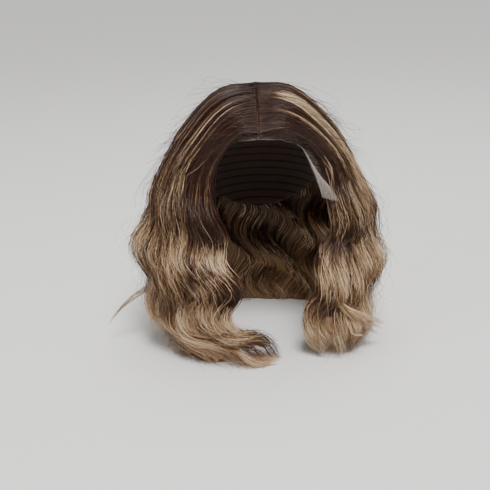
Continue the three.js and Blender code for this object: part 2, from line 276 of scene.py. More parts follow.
@dataclass(frozen=True)
class NetFinish:
    """Knitted stretch net: matt dark brown polyamide, crossed by the sewn tracks that carry the hair."""

    thread: str = "#4b382e"
    track: str = "#2a1c16"
    roughness: float = 0.85
    mesh_mm: float = 1.6
    track_mm: float = 9.0

    def material(self) -> bpy.types.Material:
        """Builds the net's material.

        Returns:
            The material.
        """
        made = new_material("Knitted stretch net")
        tree = made.node_tree
        place = add_node(tree, "TexCoord").outputs["Object"]
        # The real mesh is about 0.8 mm; twice that still shows as a weave in the render.
        weave = {"Vector": place, "Scale": 1 / (self.mesh_mm * MM), "Randomness": 0.35}
        cells = add_node(tree, "TexVoronoi", {"feature": "DISTANCE_TO_EDGE"}, weave)
        bands = add_node(
            tree,
            "TexWave",
            {"wave_type": "BANDS", "bands_direction": "Z", "wave_profile": "SIN"},
            {"Vector": place, "Scale": 0.314 / (self.track_mm * MM), "Distortion": 0.6},
        )
        span = {"Value": bands.outputs["Fac"], "From Min": 0.72, "From Max": 0.95}
        tracks = add_node(tree, "MapRange", SMOOTH_RISE, span).outputs[0]
        parts = {0: tracks, 6: linear(self.thread), 7: linear(self.track)}
        colour = add_node(tree, "Mix", COLOURS, parts)
        height = add_node(tree, "Math", SCALE_AND_ADD, {0: tracks, 1: 0.6, 2: cells.outputs["Distance"]})
        relief = {"Height": height.outputs[0], "Distance": 0.8 * MM, "Strength": 0.8}
        bump = add_node(tree, "Bump", inputs=relief)
        look = {
            "Base Color": colour.outputs[2],
            "Roughness": self.roughness,
            "Normal": bump.outputs[0],
            "Sheen Weight": 0.15,
        }
        return finished(made, look)


@dataclass(frozen=True)
class FloorFinish:
    """Pale matt studio paper."""

    paper: str = "#ecebe8"
    roughness: float = 0.9

    def material(self) -> bpy.types.Material:
        """Builds the paper's material.

        Returns:
            The material.
        """
        look = {"Base Color": linear(self.paper), "Roughness": self.roughness}
        return finished(new_material("Studio paper"), look)


def linked(name: str, data: Any) -> bpy.types.Object:
    """Puts a new object in the scene.

    Args:
        name: The object's name.
        data: The mesh, light or camera that it shows.

    Returns:
        The object.
    """
    made = bpy.data.objects.new(name, data)
    bpy.context.scene.collection.objects.link(made)
    return made


def mesh_piece(
    name: str, points: Array, quads: Array, triangles: Array, places: Array | None = None
) -> bpy.types.Object:
    """Makes an object from arrays of points and faces.

    Args:
        name: The piece's name.
        points: One row for each point.
        quads: Point numbers of the four-sided faces.
        triangles: Point numbers of the three-sided faces.
        places: The bake map's places, one row for each face corner, quads first.

    Returns:
        The object at the origin, with its quads smooth shaded.
    """
    mesh = bpy.data.meshes.new(name)
    corners = np.concatenate([quads.ravel(), triangles.ravel()]).astype(np.int32)
    starts = np.concatenate([4 * np.arange(len(quads)), 4 * len(quads) + 3 * np.arange(len(triangles))])
    mesh.vertices.add(len(points))
    mesh.vertices.foreach_set("co", points.astype(np.float32).ravel())
    mesh.loops.add(len(corners))
    mesh.loops.foreach_set("vertex_index", corners)
    mesh.polygons.add(len(starts))
    mesh.polygons.foreach_set("loop_start", starts.astype(np.int32))
    # The small end faces stay flat, so that they do not tilt the shading of the sides.
    mesh.polygons.foreach_set("use_smooth", np.arange(len(starts)) < len(quads))
    if places is not None:
        mesh.uv_layers.new(name=BAKE_MAP).data.foreach_set("uv", places.astype(np.float32).ravel())
    mesh.update(calc_edges=True)
    mesh.validate()
    return linked(name, mesh)


def dress(piece: bpy.types.Object, material: bpy.types.Material, node: str) -> None:
    """Gives a piece its material and its place in the frame.

    Args:
        piece: The finished piece.
        material: Its material.
        node: The solid that it stands for.
    """
    piece.data.materials.clear()
    piece.data.materials.append(material)
    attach(piece, "root")
    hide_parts(node)
    triangles = sum(len(face.vertices) - 2 for face in piece.data.polygons)
    log.info("%s: %d triangles", piece.name, triangles)


@dataclass(frozen=True)
class DomeForm:
    """The hollow under the cap: an ellipsoid with its top at the origin."""

    half_breadth: float = 77 * MM
    half_length: float = 95 * MM
    rise: float = 98 * MM
    centre_y: float = 6 * MM

    @property
    def axes(self) -> Array:
        """The ellipsoid's half axes."""
        return np.array([self.half_breadth, self.half_length, self.rise])

    @property
    def centre(self) -> Array:
        """The ellipsoid's centre."""
        return np.array([0.0, self.centre_y, -self.rise])

    def direction(self, azimuth: Any, polar: Any) -> Array:
        """Turns angles to directions from the dome's centre.

        Args:
            azimuth: Angles from the front, in degrees.
            polar: Angles down from the top, in degrees.

        Returns:
            The directions, of length one.
        """
        a, p = np.radians(azimuth), np.radians(polar)
        parts = np.broadcast_arrays(np.sin(p) * np.sin(a), -np.sin(p) * np.cos(a), np.cos(p))
        return np.stack(parts, axis=-1)

    def on_dome(self, units: Array, offset: Any) -> Array:
        """Returns the points in those directions that stand off the dome by an offset."""
        return self.centre + (self.axes + np.asarray(offset)[..., None]) * units

    def outwards(self, points: Array) -> Array:
        """Finds the way out: square to the dome above, level round the neck below.

        Args:
            points: The points.

        Returns:
            The way out at each point, of length one.
        """
        away = points - self.centre
        away[..., 2] = np.maximum(away[..., 2], 0)
        return unit(away / self.axes**2)

    def kept_clear(self, points: Array, clear: float, lowest: float) -> Array:
        """Moves points out of the dome and up to the floor.

        Args:
            points: The points.
            clear: Their least distance from the dome.
            lowest: The floor's height.

        Returns:
            The moved points.
        """
        away = points - self.centre
        depth = np.maximum(1 / np.linalg.norm(away / (self.axes + clear), axis=-1, keepdims=True), 1)
        moved = self.centre + away * depth
        moved[..., 2] = np.maximum(moved[..., 2], lowest)
        return moved


DOME = DomeForm()
FLOOR_Z = -295.0 * MM
HAIR_CLEAR = 2.5 * MM
PARTING_FRONT = 49.0
PARTING_CROWN = -22.0
SHOULDER_POLAR = 80.0

# Stations over the dome: share of the way to the shoulder, and half of the wall's thickness in millimetres.
OVER_DOME = ((0.0, 4.6), (0.35, 7.2), (0.7, 10.0), (1.0, 15.0))
# Stations below: height (or 0), height above the tip, half width, half depth, half of the wall's thickness
# and the length fallen since the shoulder, in millimetres.
FALL = (
    (-140.0, 0.0, 115.0, 112.0, 17.0, 62.0),
    (-190.0, 0.0, 119.0, 115.0, 20.0, 112.0),
    (0.0, 46.0, 108.0, 110.0, 16.0, 168.0),
    (0.0, 0.0, 94.0, 103.0, 6.0, 222.0),
)
FIRST_TURN = 0.6
LOW_REACH = 0.4
LAST_STATION = 7.0
SHOULDER_STATION = 3.0


class Zone(Enum):
    """The three walls of hair."""

    RIGHT = "right"
    LEFT = "left"
    BACK = "back"

    @property
    def sign(self) -> float:
        """The side of the middle plane that the zone's azimuths count towards."""
        return -1.0 if self is Zone.RIGHT else 1.0


# The valleys between locks, front to back, as the solids have them: place along the parting, distance from
# the middle, swell, azimuths of shoulder, fall, low and tip, reach, reach of the tip, drop, thickness,
# stand-off and phase.
DROP, THICKNESS, PHASE = 9, 10, 12
VALLEYS: dict[Zone, tuple[tuple[float, ...], ...]] = {
    Zone.RIGHT: (
        (0.0, 1.3, 0.19, 39, 17, 20, -15, 0.93, 0.87, -293, 0.45, 0, 157),
        (0.12, 1.3, 0.15, 52, 31, 34, -2, 1.0, 1.06, -296, 0.75, 0, 165),
        (0.24, 1.3, 0.1, 64, 46, 49, 17, 1.03, 1.19, -297, 0.95, 0, 180),
        (0.36, 1.3, 0.05, 76, 61, 61, 38, 1.05, 1.2, -296, 1, 0, 200),
        (0.48, 1.3, 0, 88, 76, 74, 58, 1.06, 1.15, -291, 1, 0, 220),
        (0.6, 1.3, 0, 100, 91, 89, 79, 1.06, 1.12, -288, 1, 0, 240),
        (0.72, 1.3, 0, 113, 106, 105, 99, 1.03, 1.07, -288, 1, 0, 255),
        (0.85, 1.3, 0, 126, 121, 121, 118, 1.0, 1.02, -290, 1, 0, 270),
        (0.97, 4, 0, 140, 137, 137, 136, 1.0, 1.0, -292, 1, 0, 280),
    ),
    Zone.LEFT: (
        (0.0, 1.3, 0.17, 60, 38, 32, 38, 0.95, 0.9, -292, 0.45, 3, 90),
        (0.13, 1.3, 0.12, 69, 51, 43, 39, 1.0, 1.12, -295, 0.72, 2, 82),
        (0.26, 1.3, 0.09, 78, 63, 56, 47, 1.02, 1.34, -295, 0.95, 0, 72),
        (0.4, 1.3, 0.04, 88, 77, 72, 66, 1.03, 1.22, -288, 1, 0, 62),
        (0.54, 1.3, 0, 99, 90, 87, 85, 1.04, 1.14, -286, 1, 0, 52),
        (0.68, 1.3, 0, 111, 104, 103, 102, 1.02, 1.06, -288, 1, 0, 40),
        (0.83, 1.3, 0, 125, 120, 120, 119, 1.0, 1.0, -290, 1, 0, 28),
        (0.97, 4, 0, 140, 137, 137, 136, 1.0, 1.0, -292, 1, 0, 15),
    ),
    Zone.BACK: (
        (0.97, 4, 0, 140, 137, 137, 136, 1.0, 1.0, -292, 1, 0, 15),
        (1.01, 2.4, 0, 156, 154, 154, 154, 0.97, 0.98, -293, 0.92, 0, 70),
        (1.03, 0.8, 0, 172, 171, 171, 171, 0.95, 0.97, -295, 0.88, 0, 125),
        (1.03, -0.8, 0, 188, 189, 189, 189, 0.95, 0.97, -294, 0.88, 0, 175),
        (1.01, -2.4, 0, 204, 206, 206, 206, 0.97, 0.98, -295, 0.92, 0, 230),
        (0.97, -4, 0, 220, 223, 223, 224, 1.0, 1.0, -292, 1, 0, 280),
    ),
}


@dataclass(frozen=True)
class Wave:
    """The hair's waves: length along the hair, swing sideways and out, and the length that they grow over."""

    length: float = 70 * MM
    sideways: float = 8 * MM
    outwards: float = 6.5 * MM
    growth: float = 100 * MM


@dataclass
class Spots:
    """Places in a wall: across the locks, along the hair and through it, and how each one's wave differs."""

    place: Array
    station: Array
    depth: Array
    phase: Any = 0.0
    swing: Any = 1.0
    stretch: Any = 1.0


@dataclass
class HairWall:
    """A wall of hair: locks side by side, from the parting over the dome and down to their tips."""

    zone: Zone
    wave: Wave = field(default_factory=Wave)
    valley: float = 0.42
    edge_inset: float = 0.03

    @property
    def locks(self) -> int:
        """The number of locks."""
        return len(VALLEYS[self.zone]) - 1

    @property
    def node(self) -> str:
        """The solid that the wall's pieces stand for."""
        return f"hair_{self.zone.value}"

    def rows(self, place: Array) -> Array:
        """Reads the table of valleys between its rows.

        Args:
            place: Places across the locks.

        Returns:
            The table's values, one row for each place.
        """
        table = np.array(VALLEYS[self.zone], float)
        kept = np.clip(place, self.edge_inset, self.locks - self.edge_inset)
        low = np.minimum(np.floor(kept), self.locks - 1).astype(int)
        return mix(table[low], table[low + 1], (kept - low)[..., None])

    def control_points(self, rows: Array) -> Array:
        """Works out the points that the wall's middle line passes through.

        Args:
            rows: The table's values at each place.

        Returns:
            Eight points for each row.
        """
        part, root_x, swell, shoulder, fall, low, tip, *rest = np.moveaxis(rows, -1, 0)
        reach, tip_reach, drop, thick, stand, _ = rest
        sign = self.zone.sign
        root = DOME.direction(0.0 * part, mix(PARTING_FRONT, PARTING_CROWN, part))
        down = DOME.direction(sign * shoulder, SHOULDER_POLAR + 0 * shoulder)
        points = []
        for share, half in OVER_DOME:
            way = unit(mix(root, down, share))
            way[..., 2] += 4 * share * (1 - share) * swell
            point = DOME.on_dome(unit(way), HAIR_CLEAR + (half * thick + share * stand) * MM)
            point[..., 0] += sign * root_x * (1 - share) * MM
            points.append(point)
        azimuths = (mix(shoulder, fall, FIRST_TURN), fall, low, tip)
        reaches = (mix(1, reach, FIRST_TURN), reach, mix(reach, tip_reach, LOW_REACH), tip_reach)
        for (z, above, half_width, half_depth, _, _), azimuth, far in zip(FALL, azimuths, reaches):
            angle = np.radians(sign * azimuth)
            height = drop + above if z == 0 else z + 0 * drop
            x, y = far * half_width * np.sin(angle), -far * half_depth * np.cos(angle)
            points.append(np.stack([x, y, height], axis=-1) * MM + np.array([0, DOME.centre_y, 0]))
        return np.stack(points, axis=-2)

    def middle(self, rows: Array, station: Array) -> tuple[Array, Array]:
        """Follows the smooth middle line.

        Args:
            rows: The table's values at each spot.
            station: How far along the line each spot is.

        Returns:
            The points and the directions of the line there.
        """
        inner = self.control_points(rows)
        first = 2 * inner[..., :1, :] - inner[..., 1:2, :]
        last = 2 * inner[..., -1:, :] - inner[..., -2:-1, :]
        points = np.concatenate([first, inner, last], axis=-2)
        low = np.clip(np.floor(station), 0, LAST_STATION - 1).astype(int)
        share = (station - low)[..., None]
        p0, p1, p2, p3 = (
            np.take_along_axis(points, (low + i)[..., None, None], axis=-2)[..., 0, :] for i in range(4)
        )
        d0, d1, d2 = (
            np.sqrt(np.linalg.norm(b - a, axis=-1, keepdims=True)) for a, b in ((p0, p1), (p1, p2), (p2, p3))
        )
        leave = ((p1 - p0) / d0 - (p2 - p0) / (d0 + d1) + (p2 - p1) / d1) * d1
        arrive = ((p2 - p1) / d1 - (p3 - p1) / (d1 + d2) + (p3 - p2) / d2) * d1
        square, cube = -3 * p1 + 3 * p2 - 2 * leave - arrive, 2 * p1 - 2 * p2 + leave + arrive
        place = p1 + leave * share + square * share**2 + cube * share**3
        return place, unit(leave + 2 * square * share + 3 * cube * share**2)

    def waves(self, spots: Spots) -> tuple[Array, Array]:
        """Follows the waves down the hair.

        Args:
            spots: Spots in the wall.

        Returns:
            The size of the wave at each spot, from 0 to about 1, and its turn in radians.
        """
        lengths = np.array([0.0] * len(OVER_DOME) + [row[5] for row in FALL]) * MM
        fallen = np.interp(spots.station, np.arange(LAST_STATION + 1), lengths)
        start = np.radians(self.rows(spots.place)[..., PHASE] + spots.phase)
        size = smoothstep(fallen, 0, self.wave.growth) * spots.swing
        return size, 2 * np.pi * fallen / (self.wave.length * spots.stretch) + start

    def locate(self, spots: Spots) -> tuple[Array, Array, Array]:
        """Finds spots in the wall.

        Args:
            spots: Where they are in the wall.

        Returns:
            Their points, and the ways sideways and out of the wall there.
        """
        rows = self.rows(spots.place)
        centre, tangent = self.middle(rows, spots.station)
        to_floor = np.minimum(FLOOR_Z - rows[..., DROP] * MM, 0)
        centre[..., 2] += to_floor * smoothstep(spots.station, LAST_STATION - 1, LAST_STATION)
        sideways = unit(np.cross(DOME.outwards(centre), tangent))
        out = np.cross(tangent, sideways)
        steps = np.arange(LAST_STATION + 1)
        halves = np.array([half for _, half in OVER_DOME] + [row[4] for row in FALL]) * MM
        ridge = np.abs(np.sin(np.pi * spots.place)) ** 0.7
        sunk = 1 - self.valley * (1 - ridge) * smoothstep(spots.station, 0.5, SHOULDER_STATION + 1)
        half = np.interp(spots.station, steps, halves) * rows[..., THICKNESS]
        half = half * np.where(spots.depth > 0, sunk, 1)
        size, turn = self.waves(spots)
        along_side = size * self.wave.sideways * np.sin(turn)
        along_out = size * self.wave.outwards * np.cos(turn) + spots.depth * half
        return centre + sideways * along_side[..., None] + out * along_out[..., None], sideways, out


@dataclass(frozen=True)
class PaintedWaveLight:
    """How much lighter the crests are painted as highlight and the hollows darker as painted shade, across
    the locks.

    The bands of painted light lead the waves by an angle in degrees, which falls along the hair.
    """

    lead: float = 75.0
    lead_fall: float = 0.0
    crest_highlight: float = 0.44
    hollow_shade: float = 0.2
    places: tuple[float, ...] = (0.0,)
    strengths: tuple[float, ...] = (1.0,)

    def paint(self, wall: HairWall, spots: Spots, uneven: Array) -> Array:
        """Works out the painted light and shade on a wall's waves.

        Args:
            wall: The wall.
            spots: Spots in it.
            uneven: How far each strand's bands of painted light lie from the others', in degrees.

        Returns:
            How far the shades at the spots are raised by painted highlight or lowered by painted shade.
        """
        size, turn = wall.waves(spots)
        lead = np.radians(self.lead - self.lead_fall * (spots.station - 4.4) + uneven)
        band = size * np.cos(turn + lead)
        # Painted highlight where a wave turns up towards the light, painted shade where it turns away.
        raised = np.where(band > 0, self.crest_highlight * np.maximum(band, 0) ** 1.5, self.hollow_shade * band)
        return raised * np.interp(spots.place, self.places, self.strengths)


def tubes(paths: Array, widths: Array, heights: Array, sides: int) -> tuple[Array, Array, Array]:
    """Wraps closed tubes round paths.

    Args:
        paths: The points of each path, one row of points for each.
        widths: Half widths across the surface that the paths lie on, at each point.
        heights: Half heights off that surface, at each point.
        sides: Sides of a tube.

    Returns:
        The points, the four-sided faces along the tubes and the faces of their ends.
    """
    count, steps = paths.shape[:2]
    tangent = unit(np.gradient(paths, axis=1))
    sideways = unit(np.cross(DOME.outwards(paths), tangent))
    out = np.cross(tangent, sideways)
    angles = 2 * np.pi * (np.arange(sides) + 0.25) / sides
    ring = sideways[:, :, None] * np.cos(angles)[:, None] * widths[:, :, None, None]
    ring = ring + out[:, :, None] * np.sin(angles)[:, None] * heights[:, :, None, None]
    points = (paths[:, :, None] + ring).reshape(-1, 3)
    number = np.arange(count * steps * sides).reshape(count, steps, sides)
    following = np.roll(number, -1, axis=2)
    around = (number[:, :-1], following[:, :-1], following[:, 1:], number[:, 1:])
    quads = np.stack(around, axis=-1).reshape(-1, 4)
    first, last = number[:, 0], number[:, -1]
    fans = [np.stack([first[:, 0], first[:, k + 1], first[:, k]], axis=-1) for k in range(1, sides - 1)]
    fans += [np.stack([last[:, 0], last[:, k], last[:, k + 1]], axis=-1) for k in range(1, sides - 1)]
    return points, quads, np.concatenate(fans)


def near_box(points: Array, free: float = 4 * MM, soft: float = 4 * MM) -> Array:
    """Bends points back that stand far out of the solids' box.

    Args:
        points: The points.
        free: The distance that they may stand out.
        soft: The further distance that those beyond are pressed into.

    Returns:
        The points, none further out than both distances together.
    """
    low, high = np.array(CAD_BOX[0]) - free, np.array(CAD_BOX[1]) + free
    inside = np.clip(points, low, high)
    return inside + soft * np.tanh((points - inside) / soft)


@dataclass
class StrandMesh:
    """Strands as one mesh, each a tapering three-sided tube with its shade and its length in the bake map."""

    name: str
    wall: HairWall
    material: bpy.types.Material
    column: float = 0.012
    flatness: float = 0.6

    def build(self, paths: Array, widths: Array, shades: Array, along: Array) -> bpy.types.Object:
        """Makes the mesh and dresses it.

        Args:
            paths: The points of each strand.
            widths: Half widths at each point.
            shades: The shade at each point, from 0 to 1.
            along: How far from root to tip each point is, from 0 to 1.

        Returns:
            The piece.
        """
        count, steps = along.shape
        points, quads, ends = tubes(near_box(paths), widths, self.flatness * widths, 3)
        left = np.clip(shades, 0, 1) * (1 - self.column)
        spots = np.stack([left, along], axis=-1)
        low = np.broadcast_to(spots[:, :-1, None], (count, steps - 1, 3, 2))
        high = np.broadcast_to(spots[:, 1:, None], low.shape)
        aside = np.array([self.column, 0.0])
        places = [np.stack([low, low + aside, high + aside, high], axis=-2).reshape(-1, 2)]
        for row, rise in ((0, 0.004), (-1, -0.004)):
            at = spots[:, row]
            triangle = [at, at + aside, at + np.array([self.column / 2, rise])]
            places.append(np.stack(triangle, axis=1).reshape(-1, 2))
        piece = mesh_piece(self.name, points, quads, ends, np.concatenate(places))
        dress(piece, self.material, self.wall.node)
        return piece


def drawn(count: int) -> int:
    return count


def taper(half: Array, share: Array, root: float, grown: float, tip: float) -> Array:
    """Works out the widths along strands.

    Args:
        half: The full half width of each strand.
        share: How far along its strand each point is, from 0 to 1.
        root: The share of the full width at the root.
        grown: Where the width is full.
        tip: The share of the full width at the tip.

    Returns:
        The half width at each point.
    """
    return half * mix(root, 1, smoothstep(share, 0, grown)) * mix(1, tip, smoothstep(share, 0.8, 1))


def bends(rng: np.random.Generator, along: Array, owner: Array, speeds: tuple[float, float]) -> Array:
    """Draws small random bends along strands, sideways and out.

    Args:
        rng: The source of random numbers.
        along: How far along its strand each point is.
        owner: The number of the bundle that each strand bends with.
        speeds: The slowest and fastest bend, in radians for each step of along.

    Returns:
        The two bends of each strand, from -1 to 1.
    """
    size = (2, int(owner.max()) + 1, 1)
    speed, start = rng.uniform(*speeds, size), rng.uniform(0, 2 * np.pi, size)
    return np.sin(speed[:, owner] * along + start[:, owner])


def drift(rng: np.random.Generator, places: Array, spacing: float) -> Array:
    """Returns smooth random values of about unit size that change across the locks.

    Args:
        rng: The source of random numbers.
        places: Places across the locks.
        spacing: The distance over which the values change.

    Returns:
        One value for each place.
    """
    at = places / spacing
    low = np.floor(at).astype(int)
    knots = rng.normal(0, 1, int(low.max()) + 2)
    return mix(knots[low], knots[low + 1], smoothstep(at - low, 0, 1))


def sunk_crown(depth: Array, station: Array) -> Array:
    """Returns depths that are less far out near the parting, so that the crown is round."""
    return depth * mix(0.75, 1.0, smoothstep(station, 0, 1.5))


@dataclass(frozen=True)
class Shades:
    """The shades of hair at places across a wall, and the painted shade that darkens it further in."""

    places: tuple[float, ...]
    values: tuple[float, ...]
    inner_painted_shade: float = 0.0

    def at(self, place: Array, depth: Array) -> Array:
        """Returns the shades at places and depths, darkened by painted shade further in."""
        return np.interp(place, self.places, self.values) - self.inner_painted_shade * (1 - depth)


@dataclass(frozen=True)
class SideLook:
    """How a wall's hair is dyed and combed: its shades, the painted light on its waves, its foils and its
    slant.

    Each foil is a light streak that starts near the root: its place, half width and rise.
    """

    shades: Shades
    # Painted highlight on the wave crests and painted shade in the hollows.
    light: PaintedWaveLight = PaintedWaveLight()
    foils: tuple[tuple[float, float, float], ...] = ()
    slant: float = 0.0


LOOKS = {
    Zone.RIGHT: SideLook(
        Shades((0, 0.8, 1.6, 3, 5, 8), (0.37, 0.38, 0.41, 0.39, 0.38, 0.4), 0.35),
        PaintedWaveLight(92, 28, 0.58, 0.42, (0.4, 1.0, 1.6, 2.6), (1.4, 1.1, 0.8, 0.45)),
        # The wide foil at place 1.6 is partly dye and partly a painted sheen on the upper hair.
        ((3.6, 0.06, 0.14), (2.8, 1.2, 0.14), (1.6, 0.6, 0.08)),
        1.2,
    ),
    Zone.LEFT: SideLook(
        Shades((0, 0.5, 1.2, 3, 5, 7), (0.3, 0.37, 0.41, 0.38, 0.38, 0.4), 0.35),
        PaintedWaveLight(45, 0, 0.54, 0.3, (0.8, 1.5, 2.6, 4.5), (0.9, 0.6, 0.6, 0.8)),
        # The wide foil at place 1.0 is partly dye and partly a painted sheen on the upper hair.
        ((2.2, 0.5, 0.42), (3.25, 0.1, 0.34), (1.0, 0.8, 0.2)),
        1.2,
    ),
    Zone.BACK: SideLook(Shades((0,), (0.42,), 0.35)),
}
EDGE_SHADES = Shades((0,), (0.52,), 0.06)
INNER_SHADES = Shades((0,), (0.32,))
# Strands keep this far from a wall's ends, in locks, and from the floor.
EDGE_ROOM = 0.02
FLOOR_ROOM = 0.6 * MM
# Half of the gap between the roots at the front of the parting.
PARTING_GAP = 0.95 * MM
# How far strands' waves differ, in degrees: across the wall, from ribbon to ribbon and from one to the next.
PHASE_SPREAD = (22, 16, 9)
# How much darker or lighter the odd strands are, and the shares of each.
ODD_SHADES = (-0.3, 0.0, 0.22)
ODD_SHARES = (0.18, 0.62, 0.2)
# How far a strand's bands of painted light lie from the others', in degrees.
BAND_SPREAD = 20


@dataclass
class StrandPlan:
    """The strands of a group.

    For each: its root, its ribbon's number, how far it is from the ribbon's middle, its depth, its places in
    the wall, and how far the parting has closed at its root.
    """

    root: Array
    own: Array
    apart: Array
    depth: Array
    spots: Spots
    closing: Array


@dataclass
class StrandGroup:
    """One mesh of strands from part of a wall: waves that change slowly across it, and ribbons below."""

    name: str
    wall: HairWall
    look: SideLook
    first_lock: float
    last_lock: float
    count: int
    seed: int
    depths: tuple[float, float] = (0.5, 1.12)
    first_station: float = 0.0
    ribbons_per_lock: float = 3.2
    half_width: float = 0.37 * MM
    dome_rows: int = 12
    fall_rows: int = 33
    frizz: float = 1.5 * MM
    wander: float = 4.0 * MM
    crossing: float = 0.2
    pinch: float = 0.3
    swing: float = 1.15
    # Painted shade on strands at the gaps between ribbons.
    gap_painted_shade: float = 0.18
    end_station: float = 6.99
    end_spread: float = 0.08
    flick: float = 0.0
    tip_light: float = 0.0

    @property
    def from_parting(self) -> bool:
        """Whether the strands start at the parting."""
        return self.first_station == 0

    def stations(self, ends: Array) -> Array:
        """Sets out the strands' points along the hair.

        Args:
            ends: The station where each strand ends.

        Returns:
            The stations of each strand's points.
        """
        share = np.linspace(0, 1, self.dome_rows, endpoint=False) ** 1.6
        over = mix(self.first_station, SHOULDER_STATION, share)
        below = mix(SHOULDER_STATION, ends[:, None], np.linspace(0, 1, self.fall_rows + 1))
        return np.concatenate([np.broadcast_to(over, (len(ends), len(over))), below], axis=1)

    def plan(self, rng: np.random.Generator) -> StrandPlan:
        """Draws the strands' roots, ribbons, ends and waves.

        Args:
            rng: The source of random numbers.

        Returns:
            The plan.
        """
        count, locks = drawn(self.count), self.wall.locks
        span = self.last_lock - self.first_lock
        root = self.first_lock + span * (np.arange(count) + rng.uniform(0, 1, count)) / count
        root = np.clip(root, EDGE_ROOM, locks - EDGE_ROOM)
        ribbons = int(round(span * self.ribbons_per_lock))
        uneven = np.arange(ribbons + 1) + rng.uniform(-0.3, 0.3, ribbons + 1)
        cuts = self.first_lock + span * uneven / ribbons
        own = np.clip(np.searchsorted(cuts, root) - 1, 0, ribbons - 1)
        ribbon = (cuts[own] + cuts[own + 1]) / 2
        apart = np.clip(2 * np.abs(root - ribbon) / (cuts[own + 1] - cuts[own]), 0, 1) ** 2
        depth = mix(*self.depths, np.sqrt(rng.uniform(0, 1, count))) + 0.12 * rng.normal(0, 1, ribbons)[own]
        depth = np.clip(depth - 0.14 * apart, -1, 1.2)[:, None]
        ends = self.end_station + self.end_spread / 2 * rng.normal(0, 1, ribbons)[own]
        ends = ends - np.abs(rng.normal(0, self.end_spread, count))
        station = self.stations(np.clip(ends, 5.9, LAST_STATION))
        # Down the length the strands gather into ribbons and locks, and some cross over.
        place = mix(root[:, None], ribbon[:, None], 0.6 * smoothstep(station, 2.4, 7.2))
        place = mix(place, np.floor(place) + 0.5, self.pinch * smoothstep(station, 5.4, LAST_STATION))
        stray = self.crossing * rng.normal(0, 1, count) * np.where(rng.uniform(0, 1, count) < 0.3, 2.0, 0.5)
        place = place + stray[:, None] * smoothstep(station, 2.4, 6.5)
        place = np.clip(place, EDGE_ROOM, locks - EDGE_ROOM)
        swept = self.look.slant * smoothstep(root, 0.2, 2) * (1 - smoothstep(root, locks - 3, locks - 0.5))
        place = place + swept[:, None] * (1 - smoothstep(station, 0, 2.4))
        closing = smoothstep(self.wall.rows(place[:, 0])[:, 0], 0.2, 0.42)[:, None]
        through = depth + 0 * station
        if self.from_parting:
            rise = 1 - (1 - np.clip(station / 0.7, 0, 1)) ** 2
            low = rng.uniform(-0.35, 0.35, count)[:, None] + 0.65 * closing
            through = mix(low, sunk_crown(depth, station), rise)
        wide, ribboned, single = PHASE_SPREAD
        phase = wide * drift(rng, root, 0.8) + ribboned * rng.normal(0, 1, ribbons)[own]
        phase = phase + rng.normal(0, single, count)
        swing = np.clip(self.swing + 0.24 * drift(rng, root, 0.6) + rng.normal(0, 0.1, count), 0.5, 1.7)
        stretch = 1 + 0.07 * drift(rng, root, 0.8)
        spots = Spots(place, station, through, phase[:, None], swing[:, None], stretch[:, None])
        return StrandPlan(root, own, apart, depth[:, 0], spots, closing)

    def paths(self, rng: np.random.Generator, plan: StrandPlan) -> Array:
        """Follows the wall's waves, with bends of each strand's own.

        Args:
            rng: The source of random numbers.
            plan: The strands.

        Returns:
            The strands' points.
        """
        count, station = len(plan.root), plan.spots.station
        paths, sideways, out = self.wall.locate(plan.spots)
        loose = np.where(rng.uniform(0, 1, count) < 0.2, 3.0, 1.0)[:, None]
        fuzz = self.frizz * loose * bends(rng, station, np.arange(count), (1.5, 5.5))
        fuzz = fuzz * smoothstep(station, 1.5, 4.2)
        slow = self.wander * bends(rng, station, plan.own, (0.8, 1.7)) * smoothstep(station, 2, 5)
        paths = paths + sideways * (fuzz[0] + slow[0])[..., None] + out * (fuzz[1] + 0.5 * slow[1])[..., None]
        # The tips that reach the floor spread out on it, each by its own amount.
        kick = np.random.default_rng(self.seed + 100).uniform(-0.25, 1, count)[:, None]
        paths = paths + out * (self.flick * kick * smoothstep(station, 6.1, LAST_STATION))[..., None]
        if self.from_parting:
            sign = self.wall.zone.sign
            meet = paths[:, :1, 0] + rng.uniform(-0.6, 0.9, (count, 1)) * sign * MM
            nearer = mix(PARTING_GAP * sign, meet, plan.closing)
            paths[..., 0] -= nearer * (1 - smoothstep(station, 0, 0.35))
        return DOME.kept_clear(paths, HAIR_CLEAR - 1 * MM, FLOOR_Z + FLOOR_ROOM)

    def tones(self, rng: np.random.Generator, plan: StrandPlan) -> tuple[Array, Array]:
        """Draws the strands' shades.

        Args:
            rng: The source of random numbers.
            plan: The strands.

        Returns:
            The shade at each point, and how far from root to tip it is for the dye.
        """
        root, count, station = plan.root, len(plan.root), plan.spots.station
        streaks = (rise * np.exp(-(((root - at) / half) ** 2)) for at, half, rise in self.look.foils)
        lift = sum(streaks, 0 * root)[:, None]
        # Strands further in are darkened with painted shade.
        shades = self.look.shades.at(root, plan.depth) + 0.12 * drift(rng, root, 0.15)
        shades = shades + rng.normal(0, 0.11, count)
        shades = shades + rng.choice(ODD_SHADES, count, p=ODD_SHARES)
        # Strands near the gaps between ribbons are darkened with painted shade.
        shades = shades - self.gap_painted_shade * plan.apart
        lifted = lift * mix(1.0, 0.35, smoothstep(station, 2.4, 4.2))
        along = np.clip(station / LAST_STATION + lifted * smoothstep(station, 0.25, 1.1), 0, 1)
        # The waves' crests get painted highlight and their hollows painted shade.
        painted = self.look.light.paint(self.wall, plan.spots, rng.normal(0, BAND_SPREAD, count)[:, None])
        shades = shades[:, None] + lifted + painted + self.tip_light * smoothstep(station, 5.9, 6.7)
        # The paler lace shows between the roots at the front of the parting.
        return shades + 1.4 * (1 - plan.closing) * (1 - smoothstep(station, 0, 0.1)), along

